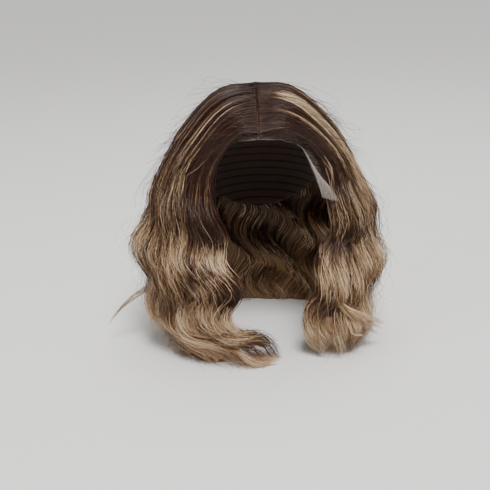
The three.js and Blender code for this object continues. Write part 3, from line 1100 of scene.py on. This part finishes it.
    def build(self, material: bpy.types.Material) -> bpy.types.Object:
        """Makes the strands and dresses them.

        Args:
            material: The hair's material.

        Returns:
            The piece.
        """
        rng = np.random.default_rng(self.seed)
        plan = self.plan(rng)
        paths = self.paths(rng, plan)
        half = self.half_width * rng.uniform(0.65, 1.35, len(plan.root))[:, None]
        widths = taper(half, plan.spots.station / plan.spots.station[:, -1:], 0.6, 0.25, 0.25)
        return StrandMesh(self.name, self.wall, material).build(paths, widths, *self.tones(rng, plan))


@dataclass
class HairlineStrands:
    """Short-rooted strands knotted along the hairline, swept back and sideways into the front lock."""

    wall: HairWall
    count: int
    seed: int
    last_azimuth: float
    steps: int = 30
    half_width: float = 0.34 * MM

    def build(self, material: bpy.types.Material) -> bpy.types.Object:
        """Makes the strands and dresses them.

        Args:
            material: The hair's material.

        Returns:
            The piece.
        """
        rng = np.random.default_rng(self.seed)
        count = drawn(self.count)
        azimuth = mix(-3.0, self.last_azimuth, rng.uniform(0, 1, count))
        polar = hairline(azimuth) + 2.2 - 6.0 * rng.uniform(0, 1, count) ** 1.6
        sign = self.wall.zone.sign
        roots = DOME.on_dome(DOME.direction(sign * azimuth, polar), 1.2 * MM + 0 * polar)
        line = np.linspace(0, SHOULDER_STATION, 60)
        edge = self.wall.middle(self.wall.rows(0 * line + 0.2), line)[0] - DOME.centre
        edge_azimuth = np.degrees(np.arctan2(sign * edge[:, 0], -edge[:, 1]))
        start = np.maximum(np.interp(azimuth, edge_azimuth, line) - 0.1, 0)
        end = rng.uniform(5.4, 6.9, count)
        station = mix(start[:, None], end[:, None], np.linspace(0, 1, self.steps) ** 1.35)
        place = rng.uniform(0.04, 0.75, count)[:, None] + 0 * station
        outer = sunk_crown(rng.uniform(0.3, 1.0, count)[:, None], station)
        depth = mix(-0.6, outer, smoothstep(station - start[:, None], 0, 0.7))
        phase, swing = rng.normal(0, 14, count)[:, None], rng.uniform(0.8, 1.2, count)[:, None]
        spots = Spots(place, station, depth, phase, swing)
        paths, sideways, out = self.wall.locate(spots)
        fade = 1 - smoothstep(station - start[:, None], 0.0, 1.1)
        paths = paths + (roots - paths[:, 0])[:, None] * fade[..., None]
        fuzz = 1.2 * MM * bends(rng, station, np.arange(count), (1.5, 5.0)) * (1 - fade)
        paths = paths + sideways * fuzz[0][..., None] + out * fuzz[1][..., None]
        paths = DOME.kept_clear(paths, 1.1 * MM, FLOOR_Z + FLOOR_ROOM)
        share = np.linspace(0, 1, self.steps)
        half = self.half_width * rng.uniform(0.7, 1.3, count)[:, None]
        widths = taper(half, share, 0.5, 0.15, 0.3)
        along = station / LAST_STATION * (1 - 0.6 * fade)
        shades = rng.normal(0.42, 0.12, count)[:, None]
        # The waves' crests get painted highlight and their hollows painted shade, as on the other strands.
        light = LOOKS[self.wall.zone].light
        shades = shades + light.paint(self.wall, spots, rng.normal(0, BAND_SPREAD, count)[:, None])
        name = f"hairline_{self.wall.zone.value}"
        return StrandMesh(name, self.wall, material).build(paths, widths, shades, along)


@dataclass
class Flyaways:
    """Fine single hairs that stand off the wall in loose bends."""

    wall: HairWall
    count: int
    seed: int
    steps: int = 13
    half_width: float = 0.29 * MM
    reach: float = 27 * MM

    def build(self, material: bpy.types.Material) -> bpy.types.Object:
        """Makes the hairs and dresses them.

        Args:
            material: The hair's material.

        Returns:
            The piece.
        """
        rng = np.random.default_rng(self.seed)
        count = drawn(self.count)
        share = np.linspace(0, 1, self.steps)
        start = rng.uniform(0.5, 5.6, count)
        length = rng.uniform(0.7, 1.9, count)
        station = np.minimum(start[:, None] + length[:, None] * share, 6.8 + 0.2 * share)
        place = rng.uniform(0.1, self.wall.locks - 0.1, count)[:, None]
        place = place + rng.normal(0, 0.35, count)[:, None] * share
        spots = Spots(
            place=np.clip(place, 0.05, self.wall.locks - 0.05),
            station=station,
            depth=0.85 + 0 * station,
            phase=rng.normal(0, 50, count)[:, None],
            swing=rng.uniform(0.8, 1.6, count)[:, None],
            stretch=rng.normal(1, 0.1, count)[:, None],
        )
        paths, sideways, out = self.wall.locate(spots)
        stand = self.reach * rng.uniform(0.15, 1, count)[:, None] ** 1.15 * share**1.3
        turned = bends(rng, 2 * np.pi * share, np.arange(count), (0.6, 1.8))
        bend = rng.uniform(1.5, 7, (2, count, 1)) * MM * turned * share
        paths = paths + out * (stand + bend[0])[..., None] + sideways * (1.6 * bend[1])[..., None]
        paths = DOME.kept_clear(paths, HAIR_CLEAR, FLOOR_Z + FLOOR_ROOM)
        widths = self.half_width * (1 - 0.5 * share) + 0 * station
        shades = rng.normal(0.42, 0.15, count)[:, None] + 0 * station
        name = f"flyaways_{self.wall.zone.value}"
        return StrandMesh(name, self.wall, material).build(paths, widths, shades, station / LAST_STATION)


@dataclass
class StrayEnd:
    """A stray end near the floor: a slim bundle of strands along a line, with one or more tips."""

    name: str
    wall: HairWall
    count: int
    seed: int
    points_mm: tuple[tuple[float, float, float], ...]
    root: float = 6 * MM
    tip: float = 1.6 * MM
    tips_mm: tuple[tuple[float, float, float], ...] = ((0.0, 0.0, 0.0),)
    steps: int = 20
    half_width: float = 0.34 * MM
    shade: float = 0.62

    def build(self, material: bpy.types.Material) -> bpy.types.Object:
        """Makes the bundle and dresses it.

        Args:
            material: The hair's material.

        Returns:
            The piece.
        """
        rng = np.random.default_rng(self.seed)
        line = np.array(self.points_mm) * MM
        share = np.linspace(0, 1, self.steps)
        ends = rng.uniform(0.72, 1.0, self.count)[:, None]
        spots = share * ends * (len(line) - 1)
        low = np.minimum(spots.astype(int), len(line) - 2)
        padded = np.concatenate([2 * line[:1] - line[1:2], line, 2 * line[-1:] - line[-2:-1]])
        t = (spots - low)[..., None]
        a, b, c, d = (padded[low + i] for i in range(4))
        paths = b + 0.5 * t * (c - a + t * (2 * a - 5 * b + 4 * c - d + t * (3 * (b - c) + d - a)))
        angle = rng.uniform(0, 2 * np.pi, (self.count, 1))
        radius = np.sqrt(rng.uniform(0, 1, (self.count, 1)))
        spread = radius * mix(self.root, self.tip, share * ends)
        twist = angle + 2.2 * share + 0.6 * np.sin(7 * share + angle)
        paths = paths + np.stack([0 * spread, spread * np.cos(twist), spread * np.sin(twist)], axis=-1)
        split = np.array(self.tips_mm)[rng.integers(0, len(self.tips_mm), self.count)] * MM
        paths = paths + split[:, None] * smoothstep(share * ends, 0.2, 1)[..., None]
        paths[..., 2] = np.maximum(paths[..., 2], FLOOR_Z + FLOOR_ROOM)
        widths = self.half_width * (1 - 0.6 * share) * rng.uniform(0.7, 1.3, (self.count, 1))
        shades = rng.normal(self.shade, 0.17, self.count)[:, None] + 0 * spots
        along = 0.75 + 0.24 * share * ends + 0 * spots
        return StrandMesh(self.name, self.wall, material).build(paths, widths, shades, along)


@dataclass
class DenseHair:
    """The dense hair under the strands, as one closed wall."""

    wall: HairWall
    front_end: float
    notch: float
    columns_per_lock: int = 10
    rows: int = 54
    inside: float = -0.88
    outside: float = 0.5
    face_inset: float = 0.1
    uneven: float = 0.04
    seed: int = 5

    def build(self, material: bpy.types.Material) -> bpy.types.Object:
        """Makes the wall and dresses it.

        Args:
            material: The dense hair's material.

        Returns:
            The piece.
        """
        rng = np.random.default_rng(self.seed)
        columns = self.wall.locks * self.columns_per_lock
        first = 0.0 if self.wall.zone is Zone.BACK else self.face_inset
        across = np.linspace(first, self.wall.locks, columns + 1)
        behind = smoothstep(across, 1.6, 3.4)
        ends = mix(self.front_end, LAST_STATION, behind)
        ends = ends + self.uneven * (1 - behind) * drift(rng, across, 0.12)
        # Beside the face its ends are notched between the locks.
        ends = ends - self.notch * (1 - smoothstep(across, 1.2, 1.7)) * (1 - np.abs(np.sin(np.pi * across)))
        along = np.linspace(0, 1, self.rows + 1)
        place, station = np.broadcast_arrays(across[:, None], mix(0.05, ends[:, None], along))
        layers, places = [], []
        thin = 1 - 0.9 * smoothstep(station, 5.4, 6.9)
        for face, half in ((self.outside, 0.0), (self.inside, 0.5)):
            depth = face * thin
            if face > 0:
                depth = mix(-0.6, sunk_crown(face, station), smoothstep(station, -0.1, 0.8)) * thin
            points = self.wall.locate(Spots(place, station, depth))[0]
            points[..., 2] = mix(points[..., 2], FLOOR_Z, smoothstep(station, 6.8, LAST_STATION))
            layers.append(DOME.kept_clear(points, HAIR_CLEAR - 0.7 * MM, FLOOR_Z + 0.4 * MM).reshape(-1, 3))
            aside = half + 0.02 + 0.46 * place / self.wall.locks
            places.append(np.stack([aside, station / LAST_STATION], axis=-1).reshape(-1, 2))
        if self.wall.zone is Zone.RIGHT:
            layers, places = layers[::-1], places[::-1]
        outer, inner = np.arange(2 * place.size).reshape(2, *place.shape)
        sheets = [
            (outer[:-1, :-1], outer[:-1, 1:], outer[1:, 1:], outer[1:, :-1]),
            (inner[:-1, :-1], inner[1:, :-1], inner[1:, 1:], inner[:-1, 1:]),
            (outer[:-1, -1], inner[:-1, -1], inner[1:, -1], outer[1:, -1]),
            (outer[:-1, 0], outer[1:, 0], inner[1:, 0], inner[:-1, 0]),
            (outer[0, :-1], inner[0, :-1], inner[0, 1:], outer[0, 1:]),
            (outer[-1, :-1], outer[-1, 1:], inner[-1, 1:], inner[-1, :-1]),
        ]
        quads = np.concatenate([np.stack(sheet, axis=-1).reshape(-1, 4) for sheet in sheets])
        corners = np.concatenate(places)[quads].reshape(-1, 2)
        no_triangles = np.zeros((0, 3), int)
        name = f"dense_hair_{self.wall.zone.value}"
        piece = mesh_piece(name, np.concatenate(layers), quads, no_triangles, corners)
        dress(piece, material, self.wall.node)
        return piece


# The foundation's edge round one side.
EDGE_AZIMUTHS = (0, 22, 38, 45, 50, 57, 66, 77, 90, 104, 130, 155, 180)
EDGE_POLARS = (50, 51.5, 56, 61, 74, 86, 95, 99, 94, 92, 112, 124, 128)
LACE_END = 73.0
LACE_BACK = 24.0
LACE_MARGIN = 2.5


def hairline(azimuth: Any) -> Array:
    """Returns the polar angle of the foundation's edge."""
    turned = np.abs((np.asarray(azimuth, float) + 180) % 360 - 180)
    return np.interp(turned, EDGE_AZIMUTHS, EDGE_POLARS)


def lace_seam(azimuth: Any) -> Array:
    """Returns the polar angle of the seam behind the lace."""
    share = np.minimum(np.abs(azimuth) / LACE_END, 1)
    return hairline(azimuth) - LACE_BACK * (1 - 0.45 * share**2)


@dataclass
class LaceFront:
    """The sheer lace along the hairline and its loose tab at the left temple: a net of fine threads."""

    pitch: float = 0.95 * MM
    thread: float = 0.12 * MM
    wall: float = 1.0 * MM
    length: float = 0.225
    depth: float = 0.04
    tab_width: float = 0.026
    tab_height: float = 0.05
    tab_from: float = 44.5
    tab_to: float = 52.0
    tab_front_mm: tuple[float, float, float] = (67.5, -79, -102)
    tab_back_mm: tuple[float, float, float] = (86, -69, -110)
    tab_bulge: float = 9 * MM
    zigzag: float = 2.5 * MM
    teeth: int = 5
    parting: tuple[float, ...] = tuple(np.linspace(-0.0065, 0.0065, 11))

    def band(self, across: Array, down: Array) -> Array:
        """Lays the band on the dome.

        Args:
            across: Shares of the way round, from the right to the left.
            down: Shares of the way from the seam to the cut edge.

        Returns:
            The points.
        """
        azimuth = mix(-LACE_END, LACE_END, across)
        polar = mix(lace_seam(azimuth), hairline(azimuth) + LACE_MARGIN, down)
        return DOME.on_dome(DOME.direction(azimuth, polar), self.wall / 2 + 0 * polar)

    def tab(self, across: Array, down: Array) -> Array:
        """Hangs the tab from the hairline.

        Args:
            across: Shares of the way to the back.
            down: Shares of the way from the hairline to the cut edge.

        Returns:
            The points.
        """
        azimuth = mix(self.tab_from, self.tab_to, across)
        way = DOME.direction(azimuth, hairline(azimuth) + LACE_MARGIN / 2)
        root = DOME.on_dome(way, self.wall / 2 + 0 * azimuth)
        tip = mix(np.array(self.tab_front_mm), np.array(self.tab_back_mm), across[..., None]) * MM
        tip[..., 2] -= self.zigzag * np.abs((2 * self.teeth * across + 1) % 2 - 1)
        bulged = mix(root, tip, 0.5) + DOME.direction(azimuth, 90 + 0 * azimuth) * self.tab_bulge
        t = down[..., None]
        return (1 - t) ** 2 * root + 2 * t * (1 - t) * bulged + t**2 * tip

    def threads(self, surface: Surface, width: float, height: float, steps: int = 9) -> Array:
        """Lays two families of slanted threads on a patch.

        Args:
            surface: Gives points from the shares across and down the patch.
            width: The patch's real width.
            height: Its real height.
            steps: Points of a thread.

        Returns:
            The threads' paths.
        """
        slope = height / width
        paths = []
        for way in (1, -1):
            for start in np.arange(-slope / 2, 1 + slope / 2, self.pitch * math.sqrt(2) / width):
                ends = np.sort((np.array([0.0, 1.0]) - start) / (way * slope) + 0.5)
                low, high = max(ends[0], 0.0), min(ends[1], 1.0)
                if high - low > 0.06:
                    down = np.linspace(low, high, steps)
                    paths.append(surface(np.clip(start + way * slope * (down - 0.5), 0, 1), down))
        return np.array(paths)

    def rims(self, surface: Surface, sides: tuple[tuple[float, ...], ...]) -> Array:
        """Lays threads along the edges of a patch.

        Args:
            surface: Gives points from the shares across and down the patch.
            sides: Each edge's shares across and down at its start and end.

        Returns:
            The threads' paths.
        """
        share = np.linspace(0, 1, 51)
        return np.array([surface(mix(a, c, share), mix(b, d, share)) for a, b, c, d in sides])

    def build(self, material: bpy.types.Material) -> bpy.types.Object:
        """Makes the net and dresses it.

        Args:
            material: The lace's material.

        Returns:
            The piece.
        """
        groups = [
            self.threads(self.band, self.length, self.depth),
            self.threads(self.tab, self.tab_width, self.tab_height),
            self.rims(self.tab, ((0, 0, 0, 1), (0, 1, 1, 1), (1, 0, 1, 1))),
            self.rims(self.band, tuple((0.5 + share, 0.0, 0.5 + share, 1.0) for share in self.parting)),
        ]
        points, quads, ends, first = [], [], [], 0
        for paths in groups:
            half = np.full(paths.shape[:2], self.thread)
            made = tubes(paths, half, half, 4)
            points.append(made[0])
            quads.append(made[1] + first)
            ends.append(made[2] + first)
            first += len(made[0])
        piece = mesh_piece("lace_net", np.concatenate(points), np.concatenate(quads), np.concatenate(ends))
        dress(piece, material, "lace_front")
        return piece


def laid_grid(name: str, columns: int, rows: int, lay: Surface) -> bpy.types.Object:
    """Adds a flat grid and lays it on a form.

    Args:
        name: The piece's name.
        columns: Faces across.
        rows: Faces along.
        lay: Gives points from the shares across and along.

    Returns:
        The grid, laid, with its doubles merged and its faces pointing out.
    """
    bpy.ops.object.select_all(action="DESELECT")
    bpy.ops.mesh.primitive_grid_add(x_subdivisions=columns, y_subdivisions=rows, size=1)
    piece = bpy.context.object
    piece.name = piece.data.name = name
    flat = np.empty(len(piece.data.vertices) * 3, np.float32)
    piece.data.vertices.foreach_get("co", flat)
    flat = flat.reshape(-1, 3)
    laid = lay(flat[:, 0] + 0.5, flat[:, 1] + 0.5)
    piece.data.vertices.foreach_set("co", laid.astype(np.float32).ravel())
    piece.data.update()
    bpy.ops.object.mode_set(mode="EDIT")
    bpy.ops.mesh.select_all(action="SELECT")
    bpy.ops.mesh.remove_doubles(threshold=0.05 * MM)
    bpy.ops.mesh.normals_make_consistent(inside=False)
    bpy.ops.object.mode_set(mode="OBJECT")
    bpy.ops.object.shade_smooth()
    return piece


def thicken(piece: bpy.types.Object, wall: float) -> None:
    """Gives a laid sheet its thickness, inwards from where it lies.

    Args:
        piece: The sheet.
        wall: Its thickness.
    """
    middle = Vector(DOME.centre)
    facing = sum(face.normal.dot(face.center - middle) for face in piece.data.polygons)
    solid = piece.modifiers.new("wall", "SOLIDIFY")
    solid.thickness = wall
    solid.offset = -1 if facing > 0 else 1
    bpy.context.view_layer.objects.active = piece
    bpy.ops.object.modifier_apply(modifier=solid.name)


@dataclass
class PartingStrip:
    """The strip of lace that the hair of the parting is knotted into."""

    columns: int = 8
    rows: int = 60
    wall: float = 1.0 * MM
    width: float = 11 * MM

    def lay(self, across: Array, forward: Array) -> Array:
        """Lays the strip's outside on the dome.

        Args:
            across: Shares of the way across.
            forward: Shares of the way from the crown to the lace.

        Returns:
            The points.
        """
        sideways = self.width / DOME.half_breadth * (across - 0.5)
        polar = mix(PARTING_CROWN, float(lace_seam(0.0)) - 0.6, forward)
        way = DOME.direction(0 * polar, polar) * np.sqrt(1 - sideways**2)[..., None]
        way[..., 0] = sideways
        return DOME.on_dome(way, self.wall + 0 * across)

    def build(self, material: bpy.types.Material) -> bpy.types.Object:
        """Makes the strip and dresses it.

        Args:
            material: The strip's material.

        Returns:
            The piece.
        """
        piece = laid_grid("parting_lace", self.columns, self.rows, self.lay)
        thicken(piece, self.wall)
        dress(piece, material, "parting_strip")
        return piece


@dataclass
class Cap:
    """The stretch-net dome that carries the hair, with a folded hem along its lower edge."""

    wall: float = 1.2 * MM
    columns: int = 120
    rows: int = 36
    hem: float = 0.03

    def edge(self, azimuth: Array) -> Array:
        """Finds where the net ends: at the lace in front, at the hem behind.

        Args:
            azimuth: Angles from the front, in degrees.

        Returns:
            The polar angles of its edge.
        """
        turned = np.abs((azimuth + 180) % 360 - 180)
        in_front = lace_seam(np.minimum(turned, LACE_END)) - 0.5
        return mix(in_front, hairline(turned), smoothstep(turned, LACE_END + 0.5, LACE_END + 3.5))

    def lay(self, across: Array, down: Array) -> Array:
        """Lays the dome's outside.

        Args:
            across: Shares of the way round.
            down: Shares of the way from the top to the edge.

        Returns:
            The points.
        """
        azimuth = 360 * across
        folded = smoothstep(down, 1 - 1.3 * self.hem, 1 - self.hem)
        way = DOME.direction(azimuth, self.edge(azimuth) * down)
        return DOME.on_dome(way, self.wall * (0.75 + 0.25 * folded))

    def build(self, material: bpy.types.Material) -> bpy.types.Object:
        """Makes the dome and dresses it.

        Args:
            material: The net's material.

        Returns:
            The piece.
        """
        piece = laid_grid("cap_net", self.columns, self.rows, self.lay)
        thicken(piece, self.wall)
        dress(piece, material, "cap")
        return piece


@dataclass
class Studio:
    """The floor, the lights and the camera."""

    target: tuple[float, float, float] = (-19.5 * MM, 0.0, -183 * MM)
    distance: float = 1.16
    elevation: float = 19.0
    roll: float = -2.2
    lens: float = 70.4
    aim: tuple[float, float, float] = (0.0, 0.0, -0.14)
    sky_power: float = 2.15
    sky_spread: float = 20.0
    sky_way: tuple[float, float, float] = (-0.12, 0.62, -1.0)
    backdrop: str = "#e9e8e6"
    backdrop_strength: float = 0.4

    def floor(self) -> None:
        """Adds the pale floor."""
        bpy.ops.object.select_all(action="DESELECT")
        bpy.ops.mesh.primitive_plane_add(size=40, location=(0, 0, FLOOR_Z))
        floor = bpy.context.object
        floor.name = "floor"
        bpy.ops.object.transform_apply(location=True, rotation=True, scale=True)
        floor.data.materials.append(FloorFinish().material())
        floor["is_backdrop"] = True

    def light(self, name: str, place: tuple[float, float, float], size: float, watts: float) -> None:
        """Adds a soft light that faces the wig.

        Args:
            name: The light's name.
            place: Where it stands.
            size: The side of its square.
            watts: Its power.
        """
        lamp = bpy.data.lights.new(name, "AREA")
        lamp.size, lamp.energy = size, watts
        holder = linked(name, lamp)
        holder.location = place
        way = Vector(self.aim) - Vector(place)
        holder.rotation_euler = way.to_track_quat("-Z", "Y").to_euler()

    def lights(self) -> None:
        """Adds the soft studio light."""
        self.light("key", (0.25, -1.0, 1.55), 0.7, 25)
        self.light("fill", (-1.5, -1.0, 0.7), 1.2, 8)
        self.light("top", (0.1, 0.6, 1.5), 1.0, 12)
        sun = bpy.data.lights.new("sky_panel", "SUN")
        sun.energy, sun.angle = self.sky_power, math.radians(self.sky_spread)
        way = Vector(self.sky_way)
        linked("sky_panel", sun).rotation_euler = way.to_track_quat("-Z", "Y").to_euler()
        world = bpy.data.worlds.new("studio")
        world.use_nodes = True
        background = world.node_tree.nodes["Background"].inputs
        background[0].default_value = linear(self.backdrop)
        background[1].default_value = self.backdrop_strength
        bpy.context.scene.world = world

    def camera(self) -> None:
        """Adds the camera at the photograph's viewing angle."""
        lens = bpy.data.cameras.new("camera")
        lens.lens, lens.sensor_width = self.lens, 36
        holder = linked("camera", lens)
        rise = math.radians(self.elevation)
        back = Vector((0, -math.cos(rise), math.sin(rise)))
        holder.location = Vector(self.target) + back * self.distance
        turn = Matrix.Rotation(math.pi / 2 - rise, 4, "X") @ Matrix.Rotation(math.radians(self.roll), 4, "Z")
        holder.rotation_euler = turn.to_euler()
        bpy.context.scene.camera = holder


# The lines that the stray ends follow, in millimetres.
RIGHT_END = ((-118, -11, -214), (-142, -16, -229), (-161, -20, -240), (-176, -23, -253), (-189, -26, -269))
LEFT_END = (
    *((80, -72, -224), (91, -88, -234), (101, -92, -240)),
    *((113, -85, -248), (128, -75, -259), (143, -64, -270)),
)
CURL = ((90, -80, -238), (94, -97, -250), (100, -97, -262), (111, -93, -266), (116, -88, -283))
TAIL = (
    *((-58, -78, -266), (-42, -90, -277), (-25, -99, -285)),
    *((-9, -101, -290), (7, -97, -291), (20, -89, -292)),
)
WISP = ((-47, -94, -258), (-36, -90, -268), (-26, -88, -279), (-17, -87, -286), (-8, -85, -290))
HOOK = (
    *((-45, -95, -263), (-32, -82, -270), (-22, -62, -280)),
    *((-14, -52, -289), (-6, -46, -290), (2, -37, -290)),
)
LEFT_TIPS = ((0, 0, 5), (-4, 2, -1), (-9, 3, -8))
TAIL_TIPS = ((0, 0, 0), (-3, -8, -1), (-14, -12, -1), (-2, 7, 0))


@dataclass
class Wig:
    """The whole wig: its walls of hair, lace, parting and cap."""

    hair: HairFinish = field(default_factory=HairFinish)
    lace: LaceFinish = field(default_factory=LaceFinish)
    net: NetFinish = field(default_factory=NetFinish)

    def build(self) -> None:
        """Builds and dresses every piece."""
        self.build_hair()
        cap = Cap().build(self.net.material())
        lace = LaceFront().build(self.lace.material())
        strip = PartingStrip().build(LaceFinish("Knotted parting lace", "#8a7468", "#5c483e").material())

    def build_hair(self) -> None:
        """Builds and dresses the hair, from the dense walls out to the flyaways."""
        strands, dense = self.hair.material(HairLayer.STRANDS), self.hair.material(HairLayer.DENSE)
        right, left, back = (HairWall(zone) for zone in Zone)
        for wall, front_end, notch in ((right, 6.7, 0.12), (left, 6.55, 0.3), (back, 7.0, 0.0)):
            DenseHair(HairWall(wall.zone, edge_inset=0.0), front_end, notch).build(dense)
        for group in self.groups(right, left, back):
            group.build(strands)
        HairlineStrands(right, 150, 31, 44).build(strands)
        HairlineStrands(left, 150, 32, 52).build(strands)
        for wall, count, seed in ((right, 380, 41), (left, 330, 42), (back, 180, 43)):
            Flyaways(wall, count, seed).build(strands)
        for end in (
            StrayEnd("stray_end_right", right, 40, 51, RIGHT_END),
            StrayEnd("stray_end_left", left, 120, 52, LEFT_END, 7 * MM, 2.2 * MM, LEFT_TIPS),
            StrayEnd("curl_left", left, 14, 53, CURL, 1.6 * MM, 0.8 * MM),
            StrayEnd("tail_right", right, 110, 54, TAIL, 5 * MM, 2 * MM, TAIL_TIPS),
            StrayEnd("wisp_right", right, 18, 55, WISP, 3 * MM, 1 * MM, ((0, 0, 0), (6, 12, 0))),
            StrayEnd("hook_right", right, 12, 56, HOOK, 2.5 * MM, 0.8 * MM),
        ):
            end.build(strands)

    def groups(self, right: HairWall, left: HairWall, back: HairWall) -> list[StrandGroup]:
        """Sets out the strands of the walls' outside, of the edges by the face and of the inside.

        Args:
            right: The wall on the wearer's right.
            left: The wall on the wearer's left.
            back: The wall at the back.

        Returns:
            The groups of strands.
        """
        on_right, on_left, behind = (LOOKS[zone] for zone in Zone)
        ragged = {"end_station": 6.93, "end_spread": 0.2}
        trimmed = {**ragged, "end_spread": 0.14}
        level = {"fall_rows": 23, "flick": 16 * MM, "tip_light": 0.16}
        made = [
            StrandGroup("strands_right_front", right, on_right, 0, 3.6, 620, 11, **trimmed),
            StrandGroup("strands_right_side", right, on_right, 3.4, 8, 490, 12, swing=1.0, **level),
            StrandGroup("strands_left_front", left, on_left, 0, 3.1, 540, 13, swing=1.0, pinch=0.5, **ragged),
            StrandGroup("strands_left_side", left, on_left, 2.9, 7, 460, 14, swing=0.85, **level),
            StrandGroup("strands_back", back, behind, 0, 5, 490, 15, swing=0.9, **level),
        ]
        by_face = {"depths": (-0.95, 0.7), "ribbons_per_lock": 14, "fall_rows": 30, "pinch": 0.0}
        for wall, seed in ((right, 16), (left, 17)):
            name, look = f"strands_edge_{wall.zone.value}", SideLook(EDGE_SHADES, LOOKS[wall.zone].light)
            made.append(StrandGroup(name, wall, look, 0, 0.22, 100, seed, **by_face))
        by_neck = {"depths": (-0.99, -0.88), "first_station": 2.7, "dome_rows": 2, "fall_rows": 22}
        coarse = {"half_width": 0.6 * MM, "frizz": 0.8 * MM, "wander": 2.5 * MM}
        for wall, seed in ((right, 21), (left, 22), (back, 23)):
            name, look = f"strands_inside_{wall.zone.value}", SideLook(INNER_SHADES)
            made.append(StrandGroup(name, wall, look, 0, wall.locks, 120, seed, **by_neck, **coarse))
        return made


def corners() -> list[list[float]]:
    """Returns the lowest and highest corner of all that is built."""
    return [[float(value) for value in corner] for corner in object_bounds()]


def main() -> None:
    """Builds the wig and the studio.
    """
    logging.basicConfig(level=logging.INFO, format="%(name)s %(message)s")
    studio = Studio()
    studio.camera()
    Wig().build()
    studio.floor()
    studio.lights()


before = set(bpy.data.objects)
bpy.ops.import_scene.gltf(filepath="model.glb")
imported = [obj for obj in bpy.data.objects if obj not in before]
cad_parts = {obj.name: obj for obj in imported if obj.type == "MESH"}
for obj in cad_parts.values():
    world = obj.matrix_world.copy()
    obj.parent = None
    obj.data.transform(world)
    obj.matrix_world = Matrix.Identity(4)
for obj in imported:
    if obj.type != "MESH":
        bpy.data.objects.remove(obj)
CAD_BOX = corners()

if __name__ == "__main__":
    main()
